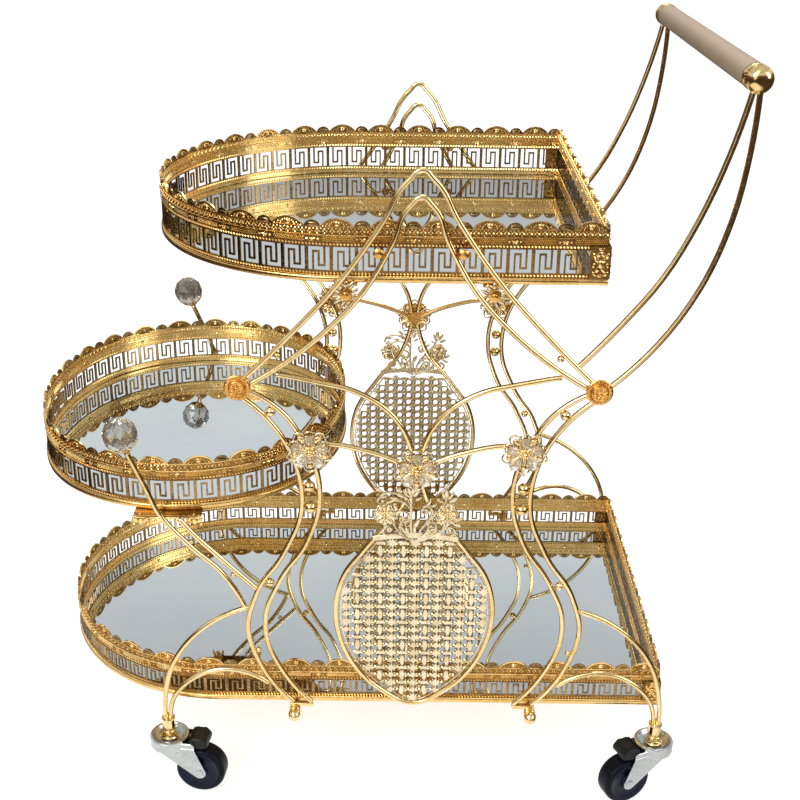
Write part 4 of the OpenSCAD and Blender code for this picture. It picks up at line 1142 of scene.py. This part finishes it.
for side_name, side in SIDES.items():
    y = side * SIDE_Y
    stars, leaves, drops, eyes, cross_bars, lines = [], [], [], [], [], []
    turn = upright(side)
    for row in range(ceil((PANEL_TOP - PANEL_FOOT) * 2 / ROW)):
        z = PANEL_TOP - row * ROW / 2
        half = ring_half(z) - 1.5
        if half > 8:
            lines.append([(-half, y, z), (0, y, z), (half, y, z)])
        for k in range(-8, 9):
            x = k * COLUMN / 2
            if abs(x) > half - 2.5:
                continue
            if row % 2 == 0 and k % 2 == 0:
                stars.append(((x, y, z), turn, 1.12))
            elif row % 2 == 0 and abs(x) < half - 5:
                cross_bars.append(((x, y, z), turn, 1.0))
            elif row % 2 == 1 and k % 2 == 0:
                drops.append(((x, y, z), turn, (1.2, 0.8, 1.1)))
            elif row % 2 == 1 and abs(x) < min(ring_half(z - 7), ring_half(z + 7)) - 2.5:
                leaves.append(((x, y, z), turn, 1.12))
        low = ring_half(z - ROW / 2)
        for k in range(-15, 16, 2):
            x = k * COLUMN / 4
            if abs(x) < min(half, low) - 3.2 and z - ROW / 4 > PANEL_FOOT:
                eyes.append(((x, y, z - ROW / 4), turn, 1.0))
    # a fine wire follows the ring on its inner side, tied to it by short bars
    rim = [c for c in smooth_route(over(HALF_RING)) if c.imag < RIM_TOP]
    strip = [c + RIM_GAP * complex(0, 1) * w for c, w in zip(rim, ways(rim))]
    if abs(strip[len(strip) // 2].imag) < abs(rim[len(rim) // 2].imag):
        strip = [c - RIM_GAP * complex(0, 1) * w for c, w in zip(rim, ways(rim))]
    lines.append([(c.real, y, c.imag) for c in strip])
    ties = [[(a.real, y, a.imag), (b.real, y, b.imag)] for a, b in list(zip(rim, strip))[::3]]
    panel = [at_points(shape, spots, PALE_GOLD)
             for shape, spots in ((STAR, stars), (LEAF_BAR, leaves), (CROSS_BAR, cross_bars), (DROP, drops))]
    # the small rings are darkened gold as painted shade around the crosses
    panel += [at_points(EYE, eyes, LATTICE_GOLD_PAINTED_SHADE), wires(lines, 0.75, PALE_GOLD, 8), wires(ties, 0.8, PALE_GOLD, 6)]
    piece(f"{side_name}_pineapple_lattice_stamped", panel, [f"{side_name}_pineapple_lattice"])


def spiral(cx, cz, r, start, turns, hand, foot, n=26):
    """A scroll that winds inward to its eye, led in from its foot."""
    line = []
    for f in (k / n for k in range(n + 1)):
        a = radians(start) + hand * 2 * pi * turns * f
        line.append((cx + r * (1 - 0.78 * f) * cos(a), cz + r * (1 - 0.78 * f) * sin(a)))
    p, q = Vector(foot), Vector(line[0])
    way = Vector(line[0]) - Vector(line[1])
    bend = q + way.normalized() * (q - p).length * 0.45
    lead = [tuple(p * (1 - f) ** 2 + bend * 2 * f * (1 - f) + q * f * f) for f in (k / 9 for k in range(9))]
    return lead + line


SCROLLS = [spiral(-12, 316, 8.8, 200, 1.15, -1, (-2, 292)), spiral(20, 315, 7.6, -20, 1.15, 1, (4, 292)),
           spiral(9.5, 324, 6.2, -30, 1.25, 1, (5, 305)), spiral(15.5, 303.5, 4.8, 170, 1.1, -1, (4, 296)),
           [(-1, 292.5), (-7, 295), (-12.5, 300), (-15, 306), (-14, 312), (-10.5, 315.4), (-6.5, 314.8), (-4.6, 311.5),
            (-6, 308.2), (-9, 308), (-10, 310.4), (-8.4, 311.5)],
           [(1, 292.5), (8, 295), (14.5, 299.5), (18.6, 305), (18.6, 310), (15.5, 312.6), (12, 311.5), (11.3, 308.5),
            (13.2, 306.8), (15, 308.2)],
           spiral(-25.5, 303.5, 6.2, -60, 1.15, -1, (-8, 294)), spiral(32, 303, 5.8, 240, 1.15, 1, (16, 294)),
           [(-4, 329), (-8, 337), (-16, 341.5), (-26, 342.5), (-33, 339.5), (-35.6, 334), (-33, 331), (-30.5, 333)],
           [(-4, 326), (-11, 333), (-19, 335), (-27, 331.5), (-29, 328)],
           [(-2.5, 292), (-4.2, 304), (-4.6, 318), (-4.4, 332), (-4.6, 341)],
           [(2.5, 292), (4, 303), (9, 312), (17, 321), (25, 330), (28, 338)],
           [(-12, 298), (-20, 309), (-26, 319)], [(24, 303), (31, 311), (36, 316)]]
EYES = [(-12, 316), (20, 315), (9.5, 324), (-25.5, 303.5), (32, 303), (15.5, 303.5), (-31, 333), (-28.5, 328)]
# leaves of the crown: place, lean in degrees from upright and size
SPRAY = [(-9, 341, -35, 1.1), (-6, 344, -15, 1.2), (-3, 345, 8, 1.1), (0.5, 342, 30, 1.0), (2, 336, 60, 0.8),
         (25, 340, -20, 1.0), (28, 343, 0, 1.2), (32, 340, 32, 1.1), (34, 335, 60, 1.0), (31, 330, 85, 0.8),
         (22, 334, -60, 0.7), (-26, 323, 0, 1.0), (-30.5, 319, -60, 1.0), (-29, 313, -120, 0.9), (-22, 318, 50, 0.9),
         (-22, 312, 120, 0.7),
         (37, 320, 10, 1.0), (40, 315, 60, 1.0), (38, 309, 110, 0.9), (33, 318, -40, 0.8),
         (-12, 304, -25, 1.4), (-8, 303, -8, 1.2), (1, 311, 20, 1.3), (-1, 304, -5, 1.0), (10, 300, 55, 1.2),
         (21, 299, 65, 1.0), (-14, 339, -70, 1.0), (-21, 336.5, -85, 0.8), (-30, 338, -100, 0.8), (-16, 345, -50, 0.9),
         (12, 332, 30, 0.9), (16, 329, 60, 0.8), (-19, 327, -30, 0.8), (0, 350, 0, 1.1), (-18, 298, -75, 0.9)]
CROWN_OUT = 3.4
for side_name, side in SIDES.items():
    y = side * (SIDE_Y + CROWN_OUT)
    lines = [[(x, y, z) for x, z in s] for s in SCROLLS]
    leaves = [((x, y, z), (0, radians(a), 0), (size, 0.6, size)) for x, z, a, size in SPRAY]
    leaves += [((x, y, z), NO_TURN, (1.0, 1.0, 0.36)) for x, z in EYES]
    # the plain band across the pineapple's top, a little bowed
    bow = [(x, 294.5 - 3.5 * (x / 38) ** 2) for x in range(-40, 41, 4)]
    strap = [(x, z + 5.4) for x, z in reversed(bow)]
    band = standing(plate(bow + strap, 2.7, 3.8, 0.3), side)
    piece(f"{side_name}_pineapple_crown_filigree",
          [wires(lines, 1.25, PALE_GOLD, 8), at_points(bead(1.7, 1.5, 4.6, 8, 6), leaves, PALE_GOLD),
           (band, PALE_GOLD)],
          [f"{side_name}_pineapple_crown"])

# ---------------------------------------------------------------- flowers


def petal_loop(r0, r1, wide, n=16):
    """A drop-shaped loop of fine wire from near the middle out to r1."""
    return [(wide / 2 * sin(2 * pi * k / n) * sin(pi * k / n) ** 0.6, r0 + (r1 - r0) * (1 - cos(2 * pi * k / n)) / 2)
            for k in range(n + 1)]


def crystal_petal(long, wide, high, n=20, rings=5):
    """A fluted drop of crystal lying on its flat back, its point at the origin and its round end along +Y."""
    corners, faces = [], []
    for i in range(rings):
        f = 1 - i / rings
        for a in around(n):
            flute = 1 + 0.07 * cos(5 * a)
            x = wide / 2 * sin(a) * (0.72 - 0.28 * cos(a)) * 1.25 * flute * f
            y = long / 2 - long / 2 * cos(a) * flute * f
            corners.append((x, y, high * (1 - f * f) * (1 + 0.12 * cos(5 * a))))
    corners += [(0, long / 2, high), (0, long / 2, 0)]
    top, bottom = len(corners) - 2, len(corners) - 1
    for i in range(rings - 1):
        faces += [(i * n + j, (i + 1) * n + j, (i + 1) * n + (j + 1) % n, i * n + (j + 1) % n) for j in range(n)]
    for j in range(n):
        k = (j + 1) % n
        faces += [((rings - 1) * n + j, top, (rings - 1) * n + k), (j, k, bottom)]
    return corners, faces


def flower(side, x, z, scale, lift):
    """Gold loops, beads and crystal petals at a place on a side frame; a lifted flower has gold petals."""
    m = facing(side, x, z, 2.6 + lift) @ Matrix.Scale(scale, 4)
    loops, beads, petals, leaves = [], [], [], []
    for k in range(5):
        a = radians(90 + 72 * k)
        turn = Matrix.Rotation(a - pi / 2, 4, "Z")
        half = Matrix.Rotation(a - pi / 2 + radians(36), 4, "Z")
        for loop, way, h in ((petal_loop(3, 21.0, 12.5), half, 1.0), (petal_loop(4, 16.5, 7.5), half, 1.6),
                             (petal_loop(4, 11.5, 3.4), half, 2.0), (petal_loop(4, 19.0, 12.5), turn, 1.0)):
            loops.append([tuple(m @ way @ Vector((p[0], p[1], h))) for p in loop])
        lean = about("X", 14)
        if lift:
            leaves.append(moved(bead(3.0, 6.4, 1.6, 8, 6), m @ turn @ Matrix.Translation((0, 11.0, 2.8)) @ lean))
        else:
            petals.append(moved(crystal_petal(13.0, 9.4, 3.8), m @ turn @ Matrix.Translation((0, 4.8, 2.6)) @ lean))
        leaves.append(moved(bead(2.6, 5.2, 0.8, 8, 6), m @ half @ Matrix.Translation((0, 11.5, 1.2)) @ lean))
        leaves.append(moved(bead(4.4, 6.0, 0.7, 10, 6), m @ turn @ Matrix.Translation((0, 11.5, 1.1)) @ lean))
        for r, b, size in ((21.2, half, 1.1), (17.0, half, 0.95), (19.4, turn, 0.9), (7.5, half, 1.0)):
            beads.append((tuple(m @ b @ Vector((0, r, 1.8))), NO_TURN, size * scale))
    beads.append((tuple(m @ Vector((0, 0, 5.0))), NO_TURN, 2.5 * scale))
    beads += [(tuple(m @ Vector((4.0 * cos(a), 4.0 * sin(a), 4.2))), NO_TURN, 1.5 * scale) for a in around(7)]
    cup = moved(turned([(0, 0.3), (4.6, 0.3), (5.2, 1.0), (5.0, 3.2), (3.2, 4.2), (0, 4.4)], 20), m)
    return loops, beads, petals, [cup] + leaves


loops, beads, petals, cups = [], [], [], []
for side in SIDES.values():
    for (x, z), scale, lift in [(p, 1.0, 0.0) for p in FLOWER_AT] + [(p, 0.5, 1.3) for p in SMALL_FLOWER_AT]:
        for whole, more in zip((loops, beads, petals, cups), flower(side, x, z, scale, lift)):
            whole += more
piece("flowers_filigree", [wires(loops, 0.95, PALE_GOLD, 6), (joined(cups), STAMPED_GOLD),
                           at_points(bead(1, 1, 1, 10, 6), beads, BRIGHT_GOLD)], ["flowers"])
piece("flower_crystals_fluted", [(joined(petals), TINTED_CRYSTAL)], ["flower_crystals"], sharp=20)

# ---------------------------------------------------------------- crystal balls


def cut_ball(r, sides=9, rows=7):
    """A ball cut in flat facets, each row turned half a facet from the last."""
    corners, faces = [(0, 0, -r)], []
    for i in range(1, rows):
        a = pi * i / rows
        for j in range(sides):
            b = 2 * pi * (j + 0.5 * (i % 2)) / sides
            corners.append((r * sin(a) * cos(b), r * sin(a) * sin(b), -r * cos(a)))
    corners.append((0, 0, r))
    last = len(corners) - 1
    for j in range(sides):
        k = (j + 1) % sides
        faces.append((0, 1 + k, 1 + j))
        top = 1 + (rows - 2) * sides
        faces.append((last, top + j, top + k))
    for i in range(1, rows - 1):
        p, q = 1 + (i - 1) * sides, 1 + i * sides
        for j in range(sides):
            k = (j + 1) % sides
            if i % 2:
                faces += [(p + j, p + k, q + k), (p + j, q + k, q + j)]
            else:
                faces += [(p + j, p + k, q + j), (p + k, q + k, q + j)]
    return corners, faces


wire_end = OUTER_SUPPORT[-1]
lean = Matrix.Rotation(atan2(wire_end[0] - CRYSTAL_AT[0], CRYSTAL_AT[1] - wire_end[1]), 4, "Y")
CRYSTAL_R = 16.5
CUP = turned([(0, 0.42), (2.5, 0.42), (2.8, 1.0), (2.4, 1.8), (3.4, 2.6), (5.2, 4.2), (6.6, 5.2), (7.4, 6.4),
              (7.2, 6.9), (6.0, 6.2), (3.0, 4.6), (0, 4.2)], 28)
CLAW = ((6.6, 5.4), (9.2, 7.4), (11.6, 9.9), (13.4, 12.4))
cups, crystals, claws = [], [], []
for side in SIDES.values():
    m = Matrix.Translation((-wire_end[0], side * SIDE_Y, wire_end[1])) @ lean
    cups.append(moved(CUP, m))
    claws += [[tuple(m @ Vector((r * cos(a), r * sin(a), h))) for r, h in CLAW] for a in around(5)]
    crystals.append(shifted(cut_ball(CRYSTAL_R), -CRYSTAL_AT[0], side * SIDE_Y, CRYSTAL_AT[1]))
piece("crystal_cups_clawed", [(joined(cups), BRIGHT_GOLD), wires(claws, 0.8, BRIGHT_GOLD, 8)], ["crystal_cups"])
piece("crystal_balls_cut", [(joined(crystals), CRYSTAL)], ["crystal_balls"], sharp=5)

# ---------------------------------------------------------------- handle

def lying(x, z):
    """From a part turned about Z to one that lies across the trolley."""
    return Matrix.Translation((x, 0, z)) @ about("X", -90)


GRIP_X, GRIP_Z, GRIP_R, GRIP_END = 266, 718, 10.96, 184.6
CAP_BEADS, CAP_BEAD_R, CAP_BEAD_Y = 26, 10.9, 192.4
lie = lying(GRIP_X, GRIP_Z)
grip = [(9.5, -GRIP_END), (10.6, -185), (GRIP_R, -GRIP_END)] + [(GRIP_R, -184 + 16 * k) for k in range(24)]
grip += [(GRIP_R, GRIP_END), (10.6, 185), (9.5, GRIP_END)]
piece("grip_tube_drawn", [(moved(turned_ring(grip, 48), lie), CHAMPAGNE)], ["grip_tube"])
CAP = turned([(0, 173), (9.3, 173), (9.45, 185.0), (11.2, 185.1), (11.45, 185.6), (11.45, 187.2), (11.0, 187.7),
              (10.7, 188.4), (10.7, 196.6), (11.1, 197.2), (11.45, 197.8), (11.4, 199.0), (10.4, 200.0), (9.6, 201.4),
              (8.0, 203.4), (5.6, 204.7), (2.6, 205.05), (0, 205.1)], 48)
cap_beads = [((GRIP_X + CAP_BEAD_R * cos(a), s * CAP_BEAD_Y, GRIP_Z + CAP_BEAD_R * sin(a)), NO_TURN, 0.58)
             for s in ENDS for a in around(CAP_BEADS)]
caps = moved(CAP, lie)
piece("grip_caps_turned", [(joined([caps, mirrored_y(caps)]), BRIGHT_GOLD),
                           at_points(bead(1, 2.2, 1, 8, 6), cap_beads, ORANGE_GOLD)], ["grip_caps"])

# ---------------------------------------------------------------- casters

STEM_X = 244
WHEEL_AT, PIN_AT = (32, 25), (25, 57)
# end and side of the trolley, and where the fork trails in degrees
CASTERS = {"front_left": (-1, -1, -7), "front_right": (-1, 1, 7), "rear_left": (1, -1, 203), "rear_right": (1, 1, 157)}
STEM = turned([(0, 53), (3.6, 53), (4, 53.4), (4, 59.4), (8.2, 59.8), (8.4, 60.6), (7.2, 62.2), (6.6, 64.8),
               (6.5, 66.4), (6.9, 66.9), (6.9, 68.0), (6.5, 68.5), (6.5, 80.4), (6.9, 80.9), (6.9, 82.2), (6.3, 83.2),
               (4.4, 83.9), (0, 83.9)], 36)
CUP_RING = turned([(4.05, 52.0), (5, 51.0), (18.2, 51.0), (19.3, 51.9), (19.5, 53.2), (19.2, 54.2), (19.4, 55.0),
                   (19.5, 60.6), (19.2, 61.9), (18.2, 62.7), (17.0, 62.9), (16.0, 62.3), (15.4, 60.8), (13.2, 58.8),
                   (10.6, 57.6), (9.6, 57.4), (9.2, 58.2), (8.8, 57.6), (4.05, 57.2)], 48)


def tangent_blade(x0, x1, z, cx, cz, r):
    """The fork plate's outline: a bar under the cup that narrows to the round end at the axle."""
    def touch_angle(px, pz, sign):
        d = hypot(px - cx, pz - cz)
        return atan2(pz - cz, px - cx) + sign * acos(r / d)
    a0, a1 = touch_angle(x1, z, -1), touch_angle(x0, z, 1)
    while a1 > a0:
        a1 -= 2 * pi
    arc = [(cx + r * cos(a0 + (a1 - a0) * k / 14), cz + r * sin(a0 + (a1 - a0) * k / 14)) for k in range(15)]
    line = [(x1, z + 2.0), (x1, z)] + arc + [(x0, z), (x0, z + 2.0)]
    return list(reversed(line))


def upright_plate(line, y0, y1, edge=0.35):
    """A plate drawn as X and up, its chamfered face toward y1."""
    corners, faces = plate(line, 0, abs(y1 - y0), edge)
    s = 1 if y1 > y0 else -1
    out = [(x, y0 + s * z, y) for x, y, z in corners]
    return (out, [tuple(reversed(f)) for f in faces]) if s > 0 else (out, faces)


AXLE = turned([(0, -14.3), (2.6, -14.3), (4.2, -13.7), (4.5, -12.8), (3, -12.7), (3, 12.7), (4.5, 12.8), (4.2, 13.7),
               (2.6, 14.3), (0, 14.3)], 24)
wheel_turn = lying(*WHEEL_AT)
fork_parts = [CUP_RING]
for s in ENDS:
    fork_parts += [upright_plate(tangent_blade(-14.6, 28, 52.5, *WHEEL_AT, 6.4), s * 11.2, s * 12.8),
                   upright_plate(rounded(10.5, 51.5, 28, 60, 2.9), s * 11.3, s * 12.6),
                   upright_plate(rounded(-11, 47.2, 11, 49.2, 0.9), s * 12.8, s * 13.3, 0.2)]
FORK = joined(fork_parts + [moved(AXLE, wheel_turn)])

tread_line = [(19.6, -10.0), (21.6, -10.0), (23.4, -9.3), (24.5, -8.0), (25, -6.2)]
tread_line += [(25, -3), (25, 3)] + [(r, -z) for r, z in reversed(tread_line)]
WHEEL_TREAD = moved(turned_ring(tread_line + [(19.2, 8.0), (19.2, -8.0)], 64), wheel_turn)
face_line = [(3.1, -11), (7.0, -11), (7.6, -10.6), (8.2, -8.6), (9.4, -8.2), (15.4, -8.6), (17.6, -9.3), (18.6, -9.8),
             (19.6, -10.0)]
face_line += [(r, -z) for r, z in reversed(face_line)]
WHEEL_CORE = moved(turned_ring(face_line, 64), wheel_turn)

pedal = [(21, 54.2), (33, 53.6), (38, 54.8), (41, 56.4), (41, 60), (38.4, 63.4), (35.6, 66), (31, 65.4), (26.4, 66),
         (22.6, 63.6), (21, 60)]
ribs = [upright_plate(rounded(23 + 2.6 * k, 62.2, 24.2 + 2.6 * k, 65.6, 0.5, 2), -9.5, 9.5, 0.2) for k in range(4)]
pedal_half = upright_plate(pedal, 0, 10.9, 0.9)
PEDAL = joined([pedal_half, mirrored_y(pedal_half)] + ribs)
PIN = moved(turned([(0, -12.8), (1.3, -12.8), (1.5, -12.5), (1.5, 12.5), (1.3, 12.8), (0, 12.8)], 16), lying(*PIN_AT))

stems = []
for name, (end, side, trail) in CASTERS.items():
    m = Matrix.Translation((end * STEM_X, side * SIDE_Y, 0)) @ about("Z", trail)
    stems.append(moved(STEM, m))
    piece(f"{name}_fork_pressed", [(moved(FORK, m), ZINC)], [f"{name}_fork"], f"{name}_fork")
    piece(f"{name}_wheel_moulded", [(moved(WHEEL_TREAD, m), TREAD), (moved(WHEEL_CORE, m), WHEEL_FACE)],
          [f"{name}_wheel"], f"{name}_wheel")
    piece(f"{name}_brake_moulded", [(moved(PEDAL, m), BLACK_PLASTIC), (moved(PIN, m), ZINC)], [f"{name}_brake"],
          f"{name}_brake")
piece("caster_stems_crimped", [(joined(stems), BRIGHT_GOLD)], ["caster_stems"])

# ---------------------------------------------------------------- studio

FLOOR_GLOW = 0.76
FLOOR_CORNERS = [(-30, -30, 0), (30, -30, 0), (30, 30, 0), (-30, 30, 0)]
# the way to the upright lamp; and the painted pool of light on the floor that only polished metal and glass see, as its
# shape and its place in that shape
LAMP_WAY = (-0.42, -0.907)
POOL_SHAPE, POOL_AT = (1, 0.6, 1), (-0.08, -0.57, 0)
WHITE = (1, 1, 1, 1)


def vector_math(tree, operation, a, b):
    return shader_node(tree, "ShaderNodeVectorMath", {0: a, 1: b}, operation=operation).outputs


def chosen(tree, share, a, b):
    """Shader a where the share is 0 and shader b where it is 1."""
    return shader_node(tree, "ShaderNodeMixShader", {0: share, 1: a, 2: b}).outputs[0]


def backdrop(tree, colour, strength):
    return shader_node(tree, "ShaderNodeBackground", {"Color": colour, "Strength": strength}).outputs[0]


def make_floor():
    me = bpy.data.meshes.new("studio_floor")
    me.from_pydata(FLOOR_CORNERS, [], [(0, 1, 2, 3)])
    o = bpy.data.objects.new("studio_floor", me)
    bpy.context.scene.collection.objects.link(o)
    m = bpy.data.materials.new("Pale floor")
    m.use_nodes = True
    t = m.node_tree
    skin = t.nodes["Principled BSDF"]
    for title, value in (("Base Color", (0.5, 0.5, 0.5, 1)), ("Roughness", 0.9), ("Specular IOR Level", 0.0)):
        skin.inputs[title].default_value = value
    path = shader_node(t, "ShaderNodeLightPath").outputs
    light = shader_node(t, "ShaderNodeEmission",
                        {"Color": WHITE, "Strength": worked_out(t, "MULTIPLY", path["Is Camera Ray"], FLOOR_GLOW)})
    both = shader_node(t, "ShaderNodeAddShader", {0: skin.outputs[0], 1: light.outputs[0]})
    # painted reflection: to polished metal and glass the floor glows as a painted pool of light in front, fading to
    # painted dim shade behind
    place = vector_math(t, "MULTIPLY", place_on_object(t), POOL_SHAPE)[0]
    painted_pool = mapped(t, vector_math(t, "DISTANCE", place, POOL_AT)["Value"], 0.48, 0.95, 1.25, 0.07, "SMOOTHSTEP")
    tint = mixed_colours(t, painted_pool, (1, 0.66, 0.42), (1, 0.98, 0.95))
    painted_reflection = shader_node(t, "ShaderNodeEmission", {"Color": tint, "Strength": painted_pool})
    seen = worked_out(t, "MAXIMUM", path["Is Glossy Ray"], path["Is Transmission Ray"])
    t.links.new(chosen(t, seen, both.outputs[0], painted_reflection.outputs[0]), t.nodes["Material Output"].inputs["Surface"])
    me.materials.append(m)


def make_world():
    w = bpy.data.worlds.new("studio")
    bpy.context.scene.world = w
    w.use_nodes = True
    t = w.node_tree
    t.nodes.clear()
    path = shader_node(t, "ShaderNodeLightPath").outputs
    way = shader_node(t, "ShaderNodeTexCoord").outputs["Generated"]
    up = shader_node(t, "ShaderNodeSeparateXYZ", {0: way})
    # the white studio has a warm dark belt at eye level, which gives polished metal its lines
    belt = shader_node(t, "ShaderNodeValToRGB", {0: mapped(t, up.outputs["Z"], -1.0, 1.0)})
    ramp = belt.color_ramp
    ramp.elements[0].position, ramp.elements[0].color = 0.30, (0.6, 0.6, 0.6, 1)
    ramp.elements[1].position, ramp.elements[1].color = 0.92, (0.7, 0.7, 0.7, 1)
    for place, colour in ((0.50, (0.11, 0.065, 0.038)), (0.59, (0.17, 0.11, 0.07)), (0.65, (0.80, 0.79, 0.77)),
                          (0.74, (0.95, 0.94, 0.92)), (0.82, (0.55, 0.54, 0.53))):
        ramp.elements.new(place).color = (*colour, 1)
    # an upright lamp at the front left, which draws a light line along the leaning wires
    across = vector_math(t, "DOT_PRODUCT", way, (-LAMP_WAY[1], LAMP_WAY[0], 0))["Value"]
    strip = mapped(t, worked_out(t, "ABSOLUTE", across), 0.1, 0.32, 1.2, 0.0, "SMOOTHSTEP")
    toward = vector_math(t, "DOT_PRODUCT", way, (*LAMP_WAY, 0))["Value"]
    strip_light = worked_out(t, "MULTIPLY", strip, worked_out(t, "GREATER_THAN", toward, 0.3))
    mirror_sky = shader_node(t, "ShaderNodeAddShader", {0: backdrop(t, belt.outputs[0], 1.0),
                                                        1: backdrop(t, WHITE, strip_light)})
    lit = chosen(t, path["Is Glossy Ray"], backdrop(t, WHITE, 0.55), mirror_sky.outputs[0])
    seen = chosen(t, path["Is Camera Ray"], lit, backdrop(t, WHITE, 1.0))
    shader_node(t, "ShaderNodeOutputWorld", {0: seen})


def lamp(name, place, aim, size, power):
    data = bpy.data.lights.new(name, "AREA")
    data.size, data.energy = size, power
    o = bpy.data.objects.new(name, data)
    bpy.context.scene.collection.objects.link(o)
    o.location = place
    o.rotation_euler = (Vector(aim) - Vector(place)).to_track_quat("-Z", "Y").to_euler()


make_floor()
make_world()
TROLLEY_MIDDLE = (0, 0, 0.35)
lamp("key", (-1.4, -2.0, 2.3), TROLLEY_MIDDLE, 1.2, 42)
lamp("fill", (2.2, -1.2, 1.5), TROLLEY_MIDDLE, 1.4, 20)
lamp("back", (0.4, 1.2, 2.9), TROLLEY_MIDDLE, 1.2, 26)

camera = bpy.data.cameras.new("camera")
# fitted to the photograph: lens, place, how far down it looks and how far it is tilted to one side, in radians
CAMERA_AT, LOOK_DOWN, TILT = (0.03765, -1.2147, 0.8927), 0.422867, 0.012974
camera.lens, camera.sensor_width = 56.67, 36
camera.clip_start, camera.clip_end = 0.05, 100
view = bpy.data.objects.new("camera", camera)
bpy.context.scene.collection.objects.link(view)
right, up = Vector((1, 0, 0)), Vector((0, sin(LOOK_DOWN), cos(LOOK_DOWN)))
axis_x = right * cos(TILT) + up * sin(TILT)
axis_y = -right * sin(TILT) + up * cos(TILT)
axis_z = axis_x.cross(axis_y)
place = Matrix((axis_x, axis_y, axis_z)).transposed().to_4x4()
place.translation = Vector(CAMERA_AT)
view.matrix_world = place
bpy.context.scene.camera = view
bpy.context.scene.view_settings.view_transform = "Standard"
